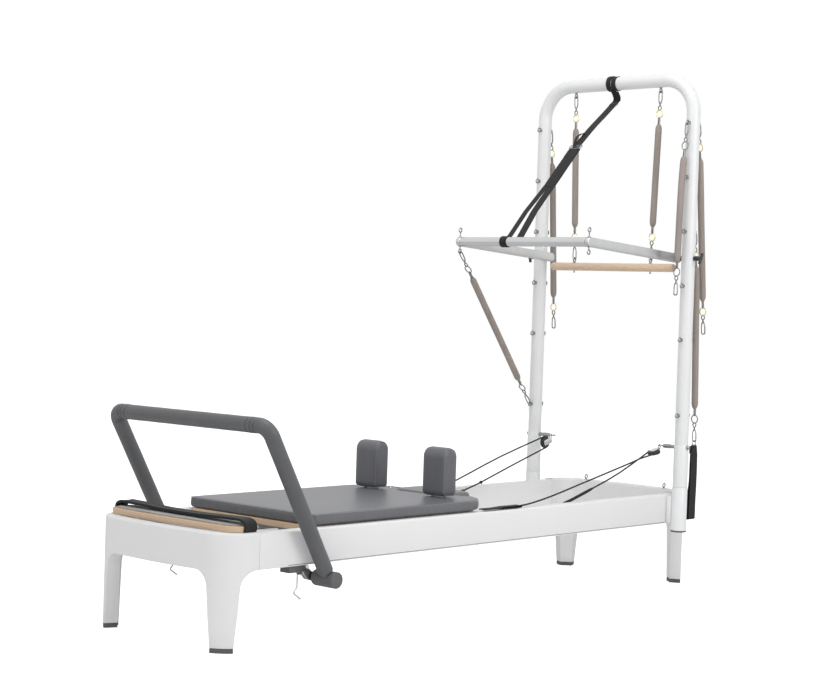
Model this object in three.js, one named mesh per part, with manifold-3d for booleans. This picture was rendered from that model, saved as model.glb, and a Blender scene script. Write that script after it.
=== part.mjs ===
// Pilates reformer bed with a half tower: two moulded end frames and two rails carry a sprung
// carriage, a sliding footbar and an inverted U of tube hung with springs and bars.
// Millimetres. +X runs from the foot end to the tower end, -Y is the near side, +Z is up,
// and the origin is on the floor under the middle of the bed.
import * as THREE from 'three';
import { mergeVertices } from 'three/addons/utils/BufferGeometryUtils.js';
import Module from 'manifold-3d';

const wasm = await Module();
wasm.setup();

// Fits
const SEAT_GAP = 0.3;
const RUN_GAP = 0.4;
const HOOK_GAP = 0.5;

// Bed frame
const BED_LENGTH = 2374;
const BED_WIDTH = 624;
const RAIL_TOP = 342;
const RAIL_HEIGHT = 106;
const RAIL_WEB = 40;
const RAIL_FLANGE = 34;
const RAIL_FLANGE_THICK = 10;
const RAIL_EDGE = 4;
const RAIL_WALL = 5;
const RAIL_LENGTH = 2080;
const SLOT_MOUTH = 12;
const SLOT_WIDTH = 24;
const SLOT_LIP = 5;
const SLOT_DEPTH = 9;
const END_RISE = 4;
const END_WALL = 44;
const END_EDGE = 8;
const CORNER_RADIUS = 112;
const BOW_RADIUS = 1672;
const LEG_ANGLE = 42;
const LEG_TIP_WIDTH = 73;
const LEG_WIDTH = 104;
const LEG_SHOULDER = 185;
const LEG_POCKET_WALL = 9;
const LEG_POCKET_DEPTH = 28;
const LEG_POCKET_ARCH = 42;
const FILLET_TO_END = 46;
const FILLET_TO_RAIL = 60;
const FOOT_HEIGHT = 14;
const FOOT_INSET = 1;
const END_EYE_SPREAD = 186;
const END_EYE_SETBACK = 40;

// Tower
const TOWER_X = 1015;
const TOWER_HALF = 349;
const TOWER_TUBE = 50.8;
const TOWER_WALL = 2.5;
const TOWER_TOP = 1880;
const TOWER_BEND = 127;
const TOWER_SEAT = 215;
const COLLAR_TUBE = 54;
const COLLAR_TOP = 528;
const SOCKET_TUBE = 57;
const SOCKET_TOP = 372;
const SOCKET_CAP = 8;
const BRACKET_LENGTH = 64;
const BRACKET_INSET = 4;
const EYE_LEVELS = [1715, 1515, 1316, 1116, 917, 638];
const EYE_RING = 7;
const EYE_WIRE = 2;
const EYE_REACH = 12;
const CROSSBAR_EYE_SPREAD = 199;
const PULLEY_LEVEL = 520;
const PULLEY_BOLT = 8;
const PULLEY_BOLT_REACH = 55;
const PULLEY_EYE = 10.5;
const PULLEY_EYE_WIRE = 2.5;
const PULLEY_KNOB = 9;

// Push-through bar
const PTB_PIVOT_Z = 1218;
const PTB_BAR_X = 478;
const PTB_BAR_Z = 1254;
const PTB_BAR_TUBE = 34;
const PTB_ARM_MID = 300;
const PTB_ARM_THICK = 18;
const PTB_PIN = 6;
const PTB_EYE_HIGH = 26;
const PTB_EYE_LOW = 19;
const LOCK_FERRULE = 9;
const LOCK_REACH = 30;
const LOCK_TEE = 44;
const LOCK_TEE_ROD = 5.5;

// Sleeved springs and the roll-down bar
const SNAP_LENGTH = 74;
const SNAP_WIDTH = 19;
const SNAP_WIRE = 1.8;
const NECK_RADIUS = 4;
const SPRING_RING = 13;
const SPRING_RING_WIRE = 1.8;
const SPRING_NECK = 128;
const SLEEVE_SHORT = 380;
const SLEEVE_LONG = 524;
const SLEEVE_RADIUS = 12.5;
const SLEEVE_END = 8;
const SLEEVE_TAPER = 10;
const DRAPE_GAP = 1.8;
const DRAPE_BEND = 70;
const ROLL_BAR_RADIUS = 15.5;
const ROLL_BAR_LENGTH = 572;
const ROLL_BAR_Z = 1182;
const ROLL_EYE_SPREAD = 180;

// Carriage
const PAD_FRONT = -808;
const PAD_BACK = 37;
const PAD_WIDTH = 584;
const PAD_THICK = 35;
const PAD_EDGE = 8;
const PAD_LIFT = 3;
const SHOULDER_RUN = 140;
const SHOULDER_DROP = 152;
const DECK_THICK = 18;
const DECK_WIDTH = 532;
const DECK_OVERHANG = 4;
const HEADREST_BACK = 118;
const HEADREST_FRONT = -48;
const HEADREST_WIDTH = 246;
const HEADREST_TOP = 390;
const HEADREST_GAP = 16;
const HEADREST_SIDE_GAP = 5;
const HEADREST_CORNER = 40;
const REST_X = -102.5;
const REST_Y = 157;
const REST_WIDTH = 100;
const REST_DEPTH = 65;
const REST_HEIGHT = 162;
const REST_LIFT = 5;
const REST_PIN = 5;
const REST_PIN_SPREAD = 56;
const REST_PIN_LENGTH = 50;
const WHEEL_RADIUS = 28;
const WHEEL_THICK = 18;
const WHEEL_FRONT_X = -700;
const WHEEL_BACK_X = -60;
const AXLE_RADIUS = 5;
const SIDE_BAR_THICK = 6;
const CROSS_BAR = 30;
const ANCHOR_BACK = 41;

// Springs under the carriage
const SPRING_BAR_X = -1024;
const SPRING_BAR_Z = 311;
const SPRING_BAR_SIZE = 26;
const SPRING_SPACING = 92;
const SPRING_COUNT = 4;
const COIL_TURNS = 6;
const COIL_RADIUS = 12;
const COIL_WIRE = 2.2;

// Standing platform
const BOARD_X = -1075;
const BOARD_DEPTH = 108;
const BOARD_LENGTH = 590;
const BOARD_THICK = 18;
const BOARD_END = 50;
const BOARD_BOW = 6;
const MAT_THICK = 3;
const MAT_INSET = 14;
const CLEAT_WIDTH = 16;
const CLEAT_LENGTH = 40;
const CLEAT_DEPTH = 14;
const STRAP_WIDTH = 46;
const STRAP_THICK = 8;
const STRAP_ARCH = 22;

// Footbar
const FOOTBAR_X = -797;
const FOOTBAR_Z = 194;
const FOOTBAR_HALF = 353;
const FOOTBAR_REACH = 532;
const FOOTBAR_LEAN = 29.7;
const FOOTBAR_BEND = 62;
const FOOTBAR_BEND_STEPS = 5;
const FOOTBAR_TUBE = 19;
const FOOTBAR_GRIP = 23.5;
const GRIP_BUTT = 6;
const HUB_RADIUS = 25;
const HUB_INNER = 300;
const HUB_OUTER = 388;
const HUB_PIN = 8;
const TROLLEY_X = -886;
const TROLLEY_LENGTH = 66;
const TROLLEY_WIDTH = 44;
const TROLLEY_DROP = 20;
const LINK_PLATE = 6;
const LEVER_WIRE = 2;

// Pulleys and ropes
const WHEEL_GROOVE = 19;
const SHEAVE_RADIUS = 23;
const SHEAVE_THICK = 12;
const SHEAVE_PIN = 3;
const CHEEK_THICK = 3;
const CHEEK_WIDTH = 22;
const BLOCK_REACH = 36;
const LINK_LENGTH = 24;
const LINK_WIDTH = 14.5;
const ROPE_RADIUS = 3;
const SLEEVE_ROPE = 5.5;
const NEAR_DIP = 13;
const FAR_DIP = 16;
const HANDLE_WIDTH = 26;
const HANDLE_THICK = 12;
const HANDLE_LENGTH = 200;

// Straps
const WEB_WIDTH = 40;
const WEB_THICK = 5;
const WEB_NARROW = 25;
const STRAP_TOP_Y = 16;
const STRAP_FOOT_Y = 80;
const STRAP_TAIL_Y = 24;
const STRAP_DROP = 63;
const STRAP_SET = 21;
const LOOP_WIDTH = 38;
const LOOP_LENGTH = 256;
const LOOP_THICK = 12;

// Worked-out places
const HALF_BED = BED_LENGTH / 2;
const RAIL_OUT = BED_WIDTH / 2;
const RAIL_IN = RAIL_OUT - RAIL_WEB;
const RAIL_BOTTOM = RAIL_TOP - RAIL_HEIGHT;
const TRACK_TOP = RAIL_BOTTOM + RAIL_FLANGE_THICK;
const END_TOP = RAIL_TOP + END_RISE;
const TUBE_R = TOWER_TUBE / 2;
const PTB_R = PTB_BAR_TUBE / 2;
const PAD_BOTTOM = RAIL_TOP + PAD_LIFT;
const PAD_TOP = PAD_BOTTOM + PAD_THICK;
const DECK_BOTTOM = PAD_BOTTOM - SEAT_GAP - DECK_THICK;
const BOARD_TOP = END_TOP + SEAT_GAP + BOARD_THICK;
const AXLE_Z = TRACK_TOP + SEAT_GAP + WHEEL_RADIUS;
const SIDES = [['near', -1], ['far', 1]];

// Finishes
const finish = (color, roughness, metalness) => new THREE.MeshStandardMaterial({ color, roughness, metalness });
const whitePaint = finish(0xe9e9ea, 0.45, 0.1);
const whiteTube = finish(0xe4e5e6, 0.35, 0.2);
const silver = finish(0xb9bbbd, 0.35, 0.9);
const chrome = finish(0xd8d9db, 0.12, 1);
const steel = finish(0x8d8f92, 0.4, 0.9);
const blackPlastic = finish(0x1d1d1f, 0.55, 0);
const rubber = finish(0x4a4a4b, 0.85, 0);
const vinyl = finish(0x5c5d61, 0.5, 0);
const birch = finish(0xd9b58c, 0.55, 0);
const maple = finish(0xcaa37c, 0.5, 0);
const matGrey = finish(0x8f9094, 0.9, 0);
const webbing = finish(0x1b1b1c, 0.85, 0);
const taupe = finish(0x8c8079, 0.85, 0);

const model = new THREE.Group();
function part(name, geometry, material) {
  const mesh = new THREE.Mesh(geometry, material);
  mesh.name = name;
  model.add(mesh);
  return mesh;
}

// Solids and booleans
function toSolid(geometry) {
  const bare = geometry.clone();
  if (bare.attributes.normal) {
    bare.deleteAttribute('normal');
  }
  if (bare.attributes.uv) {
    bare.deleteAttribute('uv');
  }
  const merged = mergeVertices(bare, 1e-4);
  const vertProperties = Float32Array.from(merged.attributes.position.array);
  const triVerts = Uint32Array.from(merged.index.array);
  return new wasm.Manifold(new wasm.Mesh({ numProp: 3, vertProperties, triVerts }));
}

function toGeometry(solid) {
  const mesh = solid.getMesh();
  const geometry = new THREE.BufferGeometry();
  geometry.setAttribute('position', new THREE.BufferAttribute(Float32Array.from(mesh.vertProperties), 3));
  geometry.setIndex(new THREE.BufferAttribute(Uint32Array.from(mesh.triVerts), 1));
  geometry.computeVertexNormals();
  return geometry;
}

function join(...pieces) {
  return toGeometry(pieces.map(toSolid).reduce((sum, piece) => sum.add(piece)));
}

function cut(base, ...tools) {
  return toGeometry(tools.map(toSolid).reduce((rest, tool) => rest.subtract(tool), toSolid(base)));
}

// Shapes placed by their own corners and axes
const point = (x, y, z) => new THREE.Vector3(x, y, z);

function block(low, high) {
  const size = high.clone().sub(low);
  const middle = low.clone().add(high).multiplyScalar(0.5);
  return new THREE.BoxGeometry(size.x, size.y, size.z).translate(middle.x, middle.y, middle.z);
}

function aimed(geometry, from, direction) {
  const turn = new THREE.Quaternion().setFromUnitVectors(point(0, 1, 0), direction.clone().normalize());
  return geometry.applyQuaternion(turn).translate(from.x, from.y, from.z);
}

function rod(from, to, radius, sides = 12) {
  const run = to.clone().sub(from);
  const length = run.length();
  return aimed(new THREE.CylinderGeometry(radius, radius, length, sides).translate(0, length / 2, 0), from, run);
}

// A flat-sided bore whose flats, and not only its corners, clear a turning pin.
function boreRadius(pin, sides) {
  return (pin + RUN_GAP) / Math.cos(Math.PI / sides);
}

function turned(profile, from, direction, sides = 16) {
  const points = profile.map(([radius, along]) => new THREE.Vector2(radius, along));
  return aimed(new THREE.LatheGeometry(points, sides), from, direction);
}

function ring(centre, normal, radius, wire, around = 8, across = 4) {
  const torus = new THREE.TorusGeometry(radius, wire, across, around);
  const turn = new THREE.Quaternion().setFromUnitVectors(point(0, 0, 1), normal.clone().normalize());
  return torus.applyQuaternion(turn).translate(centre.x, centre.y, centre.z);
}

// A route through chosen points, so that a sweep has a section at each of them
class Route extends THREE.Curve {
  constructor(points) {
    super();
    this.points = points;
  }

  getPoint(t) {
    const place = t * (this.points.length - 1);
    const index = Math.min(Math.floor(place + 1e-9), this.points.length - 2);
    return this.points[index].clone().lerp(this.points[index + 1], place - index);
  }

  getPointAt(u) {
    return this.getPoint(u);
  }

  getTangentAt(u) {
    const last = this.points.length - 1;
    const index = Math.round(u * last);
    const before = this.points[Math.max(index - 1, 0)];
    const here = this.points[index];
    const after = this.points[Math.min(index + 1, last)];
    const arriving = here.clone().sub(before).normalize();
    const leaving = after.clone().sub(here).normalize();
    return arriving.add(leaving).normalize();
  }
}

function bentRoute(corners, radius, arcSteps) {
  const points = [corners[0]];
  for (let i = 1; i < corners.length - 1; i += 1) {
    const back = corners[i - 1].clone().sub(corners[i]).normalize();
    const ahead = corners[i + 1].clone().sub(corners[i]).normalize();
    const half = back.angleTo(ahead) / 2;
    const inset = radius / Math.tan(half);
    const middle = back.clone().add(ahead).normalize().multiplyScalar(radius / Math.sin(half)).add(corners[i]);
    const start = corners[i].clone().addScaledVector(back, inset).sub(middle);
    const axis = back.clone().cross(ahead).normalize();
    const sweepAngle = Math.PI - 2 * half;
    for (let k = 0; k <= arcSteps; k += 1) {
      const spoke = start.clone().applyAxisAngle(axis, (-sweepAngle * k) / arcSteps);
      points.push(middle.clone().add(spoke));
    }
  }
  points.push(corners[corners.length - 1]);
  return points;
}

// A tube laid through centres, with a radius at each, capped or closed on itself
function laidTube(centres, radii, sides, across, closed = false) {
  const count = centres.length;
  const positions = [];
  const normal = across.clone();
  centres.forEach((centre, i) => {
    const before = centres[closed ? (i + count - 1) % count : Math.max(i - 1, 0)];
    const after = centres[closed ? (i + 1) % count : Math.min(i + 1, count - 1)];
    const arriving = centre.clone().sub(before).normalize();
    const tangent = after.clone().sub(centre).normalize().add(arriving).normalize();
    normal.addScaledVector(tangent, -normal.dot(tangent)).normalize();
    const beside = tangent.clone().cross(normal);
    for (let j = 0; j < sides; j += 1) {
      const angle = (2 * Math.PI * (j + 0.5)) / sides;
      const corner = centre.clone().addScaledVector(normal, radii[i] * Math.cos(angle));
      corner.addScaledVector(beside, radii[i] * Math.sin(angle));
      positions.push(corner.x, corner.y, corner.z);
    }
  });
  const index = [];
  for (let i = 0; i < (closed ? count : count - 1); i += 1) {
    const next = (i + 1) % count;
    for (let j = 0; j < sides; j += 1) {
      const k = (j + 1) % sides;
      index.push(i * sides + j, i * sides + k, next * sides + j);
      index.push(i * sides + k, next * sides + k, next * sides + j);
    }
  }
  const last = (count - 1) * sides;
  for (let j = 1; j < sides - 1 && !closed; j += 1) {
    index.push(0, j + 1, j, last, last + j, last + j + 1);
  }
  const geometry = new THREE.BufferGeometry();
  geometry.setAttribute('position', new THREE.Float32BufferAttribute(positions, 3));
  geometry.setIndex(index);
  return geometry;
}

// A wire loop with straight sides and round ends, from its outer end along its length
function wireLoop(start, along, across, length, width, gauge, steps = 3) {
  const half = width / 2 - gauge;
  const crest = half * Math.cos(steps % 2 ? Math.PI / (2 * steps) : 0);
  const points = [];
  for (const [middle, way] of [[gauge + crest, -1], [length - gauge - crest, 1]]) {
    for (let k = 0; k <= steps; k += 1) {
      const angle = (Math.PI * k) / steps;
      const place = start.clone().addScaledVector(along, middle + way * half * Math.sin(angle));
      points.push(place.addScaledVector(across, way * half * Math.cos(angle)));
    }
  }
  const normal = along.clone().cross(across);
  return laidTube(points, points.map(() => gauge), 4, normal, true);
}

function circle(radius, sides) {
  const shape = new THREE.Shape();
  for (let i = 0; i < sides; i += 1) {
    const angle = (2 * Math.PI * i) / sides;
    const step = i === 0 ? 'moveTo' : 'lineTo';
    shape[step](radius * Math.cos(angle), radius * Math.sin(angle));
  }
  shape.closePath();
  return shape;
}

function sweep(points, radius, sides = 12) {
  const section = circle(radius, sides);
  const options = { steps: points.length - 1, extrudePath: new Route(points), bevelEnabled: false };
  return new THREE.ExtrudeGeometry(section, options);
}

// A plan outline raised from one level to another, with its edges rounded by the given radius
function slab(shape, bottom, top, edge = 0, edgeSteps = 2, curveSegments = 4) {
  const options = {
    depth: top - bottom - 2 * edge,
    bevelEnabled: edge > 0,
    bevelThickness: edge,
    bevelSize: edge,
    bevelOffset: -edge,
    bevelSegments: edgeSteps,
    curveSegments,
  };
  return new THREE.ExtrudeGeometry(shape, options).translate(0, 0, bottom + edge);
}

// An outline drawn as X along and Y up, raised across the bed between two Y planes
function plate(shape, yFrom, yTo, edge = 0, edgeSteps = 1, curveSegments = 4) {
  const low = Math.min(yFrom, yTo);
  const high = Math.max(yFrom, yTo);
  return slab(shape, low, high, edge, edgeSteps, curveSegments).rotateX(Math.PI / 2).translate(0, low + high, 0);
}

function roundedBox(shapeWidth, shapeHeight, radius) {
  const shape = new THREE.Shape();
  const w = shapeWidth / 2;
  const h = shapeHeight / 2;
  shape.moveTo(w, -h + radius);
  shape.lineTo(w, h - radius);
  shape.absarc(w - radius, h - radius, radius, 0, Math.PI / 2);
  shape.lineTo(-w + radius, h);
  shape.absarc(-w + radius, h - radius, radius, Math.PI / 2, Math.PI);
  shape.lineTo(-w, -h + radius);
  shape.absarc(-w + radius, -h + radius, radius, Math.PI, 1.5 * Math.PI);
  shape.lineTo(w - radius, -h);
  shape.absarc(w - radius, -h + radius, radius, 1.5 * Math.PI, 2 * Math.PI);
  return shape;
}

// End frames: the outer face follows a plan line of side, corner, bowed end, corner and side
const bowCentre = HALF_BED - BOW_RADIUS;
const cornerY = RAIL_OUT - CORNER_RADIUS;
const bowSpan = BOW_RADIUS - CORNER_RADIUS;
const cornerX = bowCentre + Math.sqrt(bowSpan ** 2 - cornerY ** 2);
const bowAngle = Math.asin(cornerY / bowSpan);
const cornerSweep = Math.PI / 2 - bowAngle;
const sideRun = cornerX - RAIL_LENGTH / 2;
const legPlace = sideRun + CORNER_RADIUS * THREE.MathUtils.degToRad(90 - LEG_ANGLE);
const halfLine = sideRun + CORNER_RADIUS * cornerSweep + BOW_RADIUS * bowAngle;

// Place and outward direction at a distance along the outer face from the near rail
function planAt(distance) {
  const mirrored = distance > halfLine;
  const run = mirrored ? 2 * halfLine - distance : distance;
  let x = RAIL_LENGTH / 2 + run;
  let y = -RAIL_OUT;
  let angle = -Math.PI / 2;
  if (run > sideRun) {
    angle += Math.min((run - sideRun) / CORNER_RADIUS, cornerSweep);
    x = cornerX + CORNER_RADIUS * Math.cos(angle);
    y = -cornerY + CORNER_RADIUS * Math.sin(angle);
  }
  const beyond = run - sideRun - CORNER_RADIUS * cornerSweep;
  if (beyond > 0) {
    angle = -bowAngle + beyond / BOW_RADIUS;
    x = bowCentre + BOW_RADIUS * Math.cos(angle);
    y = BOW_RADIUS * Math.sin(angle);
  }
  const flip = mirrored ? -1 : 1;
  return { x, y: y * flip, nx: Math.cos(angle), ny: Math.sin(angle) * flip };
}

// A wall bent along the plan line: each column is a closed section of [depth, level] points
function bentWall(columns) {
  const count = columns[0].section.length;
  const positions = [];
  for (const { distance, section } of columns) {
    const { x, y, nx, ny } = planAt(distance);
    for (const [depth, level] of section) {
      positions.push(x - nx * depth, y - ny * depth, level);
    }
  }
  const index = [];
  for (let i = 0; i < columns.length - 1; i += 1) {
    for (let j = 0; j < count; j += 1) {
      const next = (j + 1) % count;
      const a = i * count + j;
      const b = i * count + next;
      index.push(a, a + count, b, b, a + count, b + count);
    }
  }
  const last = (columns.length - 1) * count;
  for (let j = 1; j < count - 1; j += 1) {
    index.push(0, j, j + 1, last, last + j + 1, last + j);
  }
  const geometry = new THREE.BufferGeometry();
  geometry.setAttribute('position', new THREE.Float32BufferAttribute(positions, 3));
  geometry.setIndex(index);
  return geometry;
}

// Underside of the end frame near a leg, at a distance from the leg's middle
function undersidePoints() {
  const half = LEG_WIDTH / 2;
  const tip = LEG_TIP_WIDTH / 2;
  const drop = RAIL_BOTTOM - LEG_SHOULDER;
  const points = [];
  const filletSteps = 4;
  for (let k = filletSteps; k >= 0; k -= 1) {
    const angle = (k / filletSteps) * (Math.PI / 2);
    points.push([-half - FILLET_TO_RAIL * (1 - Math.cos(angle)), LEG_SHOULDER + drop * Math.sin(angle)]);
  }
  points.push([-tip, FOOT_HEIGHT], [-tip / 3, FOOT_HEIGHT], [tip / 3, FOOT_HEIGHT], [tip, FOOT_HEIGHT]);
  for (let k = 0; k <= filletSteps; k += 1) {
    const angle = (k / filletSteps) * (Math.PI / 2);
    points.push([half + FILLET_TO_END * (1 - Math.cos(angle)), LEG_SHOULDER + drop * Math.sin(angle)]);
  }
  return points;
}

function wallSection(underside) {
  const soft = END_EDGE * 0.3;
  return [
    [0, underside],
    [0, END_TOP - END_EDGE],
    [soft, END_TOP - soft],
    [END_EDGE, END_TOP],
    [END_WALL - END_EDGE, END_TOP],
    [END_WALL, END_TOP - END_EDGE],
    [END_WALL, underside],
  ];
}

function endFrame() {
  const legSide = undersidePoints().map(([t, level]) => [legPlace + t, level]);
  const across = 5;
  const gapStart = legSide[legSide.length - 1][0];
  const half = [[0, RAIL_BOTTOM], ...legSide];
  for (let k = 1; k < across; k += 1) {
    half.push([gapStart + ((halfLine - gapStart) * k) / across, RAIL_BOTTOM]);
  }
  const mirrored = half.map(([distance, level]) => [2 * halfLine - distance, level]).reverse();
  const line = [...half, [halfLine, RAIL_BOTTOM], ...mirrored];
  return bentWall(line.map(([distance, level]) => ({ distance, section: wallSection(level) })));
}

// Hollow in the back of a leg, open towards the middle of the bed, with an arched top
function legPocket(place) {
  const half = LEG_WIDTH / 2 - LEG_POCKET_WALL;
  const tip = LEG_TIP_WIDTH / 2 - LEG_POCKET_WALL;
  const archFoot = LEG_SHOULDER - LEG_POCKET_WALL;
  const outline = new THREE.Shape();
  outline.moveTo(-tip, FOOT_HEIGHT + LEG_POCKET_WALL);
  outline.lineTo(tip, FOOT_HEIGHT + LEG_POCKET_WALL);
  outline.lineTo(half, archFoot);
  outline.absellipse(0, archFoot, half, LEG_POCKET_ARCH, 0, Math.PI);
  const beyond = 30;
  const depth = LEG_POCKET_DEPTH + beyond;
  const tool = new THREE.ExtrudeGeometry(outline, { depth, bevelEnabled: false, curveSegments: 6 });
  const { x, y, nx, ny } = planAt(place);
  const basis = new THREE.Matrix4().makeBasis(point(-ny, nx, 0), point(0, 0, 1), point(nx, ny, 0));
  return tool.translate(0, 0, -END_WALL - beyond).applyMatrix4(basis.setPosition(x, y, 0));
}

function footPad(place) {
  const tip = LEG_TIP_WIDTH / 2 - FOOT_INSET;
  const top = FOOT_HEIGHT - SEAT_GAP;
  const section = [[FOOT_INSET, 0], [FOOT_INSET, top], [END_WALL - FOOT_INSET, top], [END_WALL - FOOT_INSET, 0]];
  const steps = [-1, -1 / 3, 1 / 3, 1];
  return bentWall(steps.map((t) => ({ distance: place + t * tip, section })));
}

// A screw eye: one wire that runs out from its seat and round into an open ring
function screwEye(seat, direction, normal, reach = EYE_REACH) {
  const out = direction.clone().normalize();
  const side = out.clone().cross(normal);
  const at = (along, beside) => seat.clone().addScaledVector(out, along).addScaledVector(side, beside);
  const centres = [at(-1.5, 0)];
  for (const turn of [0, 50, 90, 150, 210, 270, 330]) {
    const angle = THREE.MathUtils.degToRad(turn);
    centres.push(at(reach - EYE_RING * Math.cos(angle), EYE_RING * Math.sin(angle)));
  }
  return laidTube(centres, centres.map(() => EYE_WIRE), 4, normal);
}

const legPlaces = [legPlace, 2 * halfLine - legPlace];
const bareEnd = cut(endFrame(), ...legPlaces.map(legPocket));
const endEyes = SIDES.map(([, side]) => {
  const seat = point(HALF_BED - END_EYE_SETBACK, side * END_EYE_SPREAD, END_TOP);
  return screwEye(seat, point(0, 0, 1), point(0, 1, 0));
});
part('foot_end_frame', bareEnd.clone().scale(-1, -1, 1), whitePaint);
part('head_end_frame', join(bareEnd, ...endEyes), whitePaint);
part('foot_pad_head_near', footPad(legPlaces[0]), rubber);
part('foot_pad_head_far', footPad(legPlaces[1]), rubber);
part('foot_pad_foot_far', footPad(legPlaces[0]).rotateZ(Math.PI), rubber);
part('foot_pad_foot_near', footPad(legPlaces[1]).rotateZ(Math.PI), rubber);

// Rails: a hollow box web with a soft top edge, an inward track flange and a T-slot underneath
const SLOT_MIDDLE = RAIL_OUT - RAIL_WEB / 2;
function railSection() {
  const mouth = SLOT_MOUTH / 2;
  const wide = SLOT_WIDTH / 2;
  const lip = RAIL_BOTTOM + SLOT_LIP;
  const roof = lip + SLOT_DEPTH;
  const outline = [
    [RAIL_OUT, RAIL_BOTTOM], [RAIL_OUT, RAIL_TOP - RAIL_EDGE], [RAIL_OUT - RAIL_EDGE, RAIL_TOP],
    [RAIL_IN, RAIL_TOP], [RAIL_IN, TRACK_TOP], [RAIL_IN - RAIL_FLANGE, TRACK_TOP],
    [RAIL_IN - RAIL_FLANGE, RAIL_BOTTOM], [SLOT_MIDDLE - mouth, RAIL_BOTTOM], [SLOT_MIDDLE - mouth, lip],
    [SLOT_MIDDLE - wide, lip], [SLOT_MIDDLE - wide, roof], [SLOT_MIDDLE + wide, roof],
    [SLOT_MIDDLE + wide, lip], [SLOT_MIDDLE + mouth, lip], [SLOT_MIDDLE + mouth, RAIL_BOTTOM],
  ];
  const section = new THREE.Shape(outline.map(([y, z]) => new THREE.Vector2(y, z)));
  const inner = RAIL_IN + RAIL_WALL;
  const outer = RAIL_OUT - RAIL_WALL;
  const low = roof + RAIL_WALL;
  const high = RAIL_TOP - RAIL_WALL;
  const chamber = [[inner, low], [inner, high], [outer, high], [outer, low]];
  section.holes.push(new THREE.Path(chamber.map(([y, z]) => new THREE.Vector2(y, z))));
  return section;
}

const railHalf = RAIL_LENGTH / 2 - SEAT_GAP;
for (const [name, side] of SIDES) {
  const rail = new THREE.ExtrudeGeometry(railSection(), { depth: 2 * railHalf, bevelEnabled: false });
  rail.translate(0, 0, -railHalf).rotateX(Math.PI / 2).rotateZ(Math.PI / 2);
  part(`rail_${name}`, side < 0 ? rail.rotateZ(Math.PI) : rail, whitePaint);
}

// Tower sockets: a sleeve with a plugged foot, on a bracket bolted to the rail
for (const [name, side] of SIDES) {
  const y = side * TOWER_HALF;
  const foot = TOWER_SEAT - SEAT_GAP - SOCKET_CAP;
  const face = side * (RAIL_OUT + SEAT_GAP);
  const faceBlock = [point(TOWER_X - BRACKET_LENGTH / 2, 0, RAIL_BOTTOM + BRACKET_INSET),
    point(TOWER_X + BRACKET_LENGTH / 2, 0, RAIL_TOP - BRACKET_INSET)];
  faceBlock[0].y = Math.min(face, y);
  faceBlock[1].y = Math.max(face, y);
  const sleeve = rod(point(TOWER_X, y, foot), point(TOWER_X, y, SOCKET_TOP), SOCKET_TUBE / 2, 18);
  const bore = rod(point(TOWER_X, y, TOWER_SEAT - SEAT_GAP), point(TOWER_X, y, SOCKET_TOP + 5), TUBE_R + RUN_GAP, 18);
  const trim = block(point(TOWER_X - BRACKET_LENGTH, Math.min(y, y + side * 40), 0),
    point(TOWER_X + BRACKET_LENGTH, Math.max(y, y + side * 40), RAIL_TOP + 50));
  const bracket = cut(block(faceBlock[0], faceBlock[1]), trim);
  part(`tower_socket_${name}`, cut(join(sleeve, bracket), bore), whitePaint);
}

// Tower: one bent tube with a thicker collar above each socket, eyebolts and pulley bolts
function towerTube() {
  const corners = [
    point(TOWER_X, -TOWER_HALF, TOWER_SEAT),
    point(TOWER_X, -TOWER_HALF, TOWER_TOP),
    point(TOWER_X, TOWER_HALF, TOWER_TOP),
    point(TOWER_X, TOWER_HALF, TOWER_SEAT),
  ];
  const outer = sweep(bentRoute(corners, TOWER_BEND, 6), TUBE_R, 16);
  const inner = corners.map((corner) => corner.clone());
  inner[0].z -= 5;
  inner[3].z -= 5;
  const bore = sweep(bentRoute(inner, TOWER_BEND, 6), TUBE_R - TOWER_WALL, 10);
  const added = [];
  const holes = [bore];
  for (const [, side] of SIDES) {
    const y = side * TOWER_HALF;
    added.push(rod(point(TOWER_X, y, SOCKET_TOP + SEAT_GAP), point(TOWER_X, y, COLLAR_TOP), COLLAR_TUBE / 2, 16));
    holes.push(rod(point(TOWER_X, y - 40, PTB_PIVOT_Z), point(TOWER_X, y + 40, PTB_PIVOT_Z), boreRadius(PTB_PIN, 8), 8));
  }
  const shell = cut(join(outer, ...added), ...holes);
  const fittings = [];
  for (const [, side] of SIDES) {
    const y = side * TOWER_HALF;
    for (const level of EYE_LEVELS) {
      for (const way of [-1, 1]) {
        const seat = point(TOWER_X + way * (TUBE_R - 0.3), y, level);
        fittings.push(screwEye(seat, point(way, 0, 0), point(0, 1, 0)));
      }
    }
    const hanger = point(TOWER_X, side * CROSSBAR_EYE_SPREAD, TOWER_TOP - TUBE_R + 0.3);
    fittings.push(screwEye(hanger, point(0, 0, -1), point(0, 1, 0)));
    const inner = y - side * (TUBE_R - 1);
    const tip = y - side * (TUBE_R + PULLEY_BOLT_REACH);
    const outerFace = y + side * (TUBE_R - 1);
    fittings.push(rod(point(TOWER_X, inner, PULLEY_LEVEL), point(TOWER_X, tip, PULLEY_LEVEL), PULLEY_BOLT, 8));
    const eye = point(TOWER_X, tip - side * PULLEY_EYE, PULLEY_LEVEL);
    fittings.push(ring(eye, point(0, 0, 1), PULLEY_EYE, PULLEY_EYE_WIRE, 10, 5));
    const knobEnd = outerFace + side * 11;
    fittings.push(rod(point(TOWER_X, outerFace, PULLEY_LEVEL), point(TOWER_X, knobEnd, PULLEY_LEVEL), PULLEY_KNOB, 6));
  }
  return join(shell, ...fittings);
}
part('tower_tube', towerTube(), whiteTube);

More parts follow.
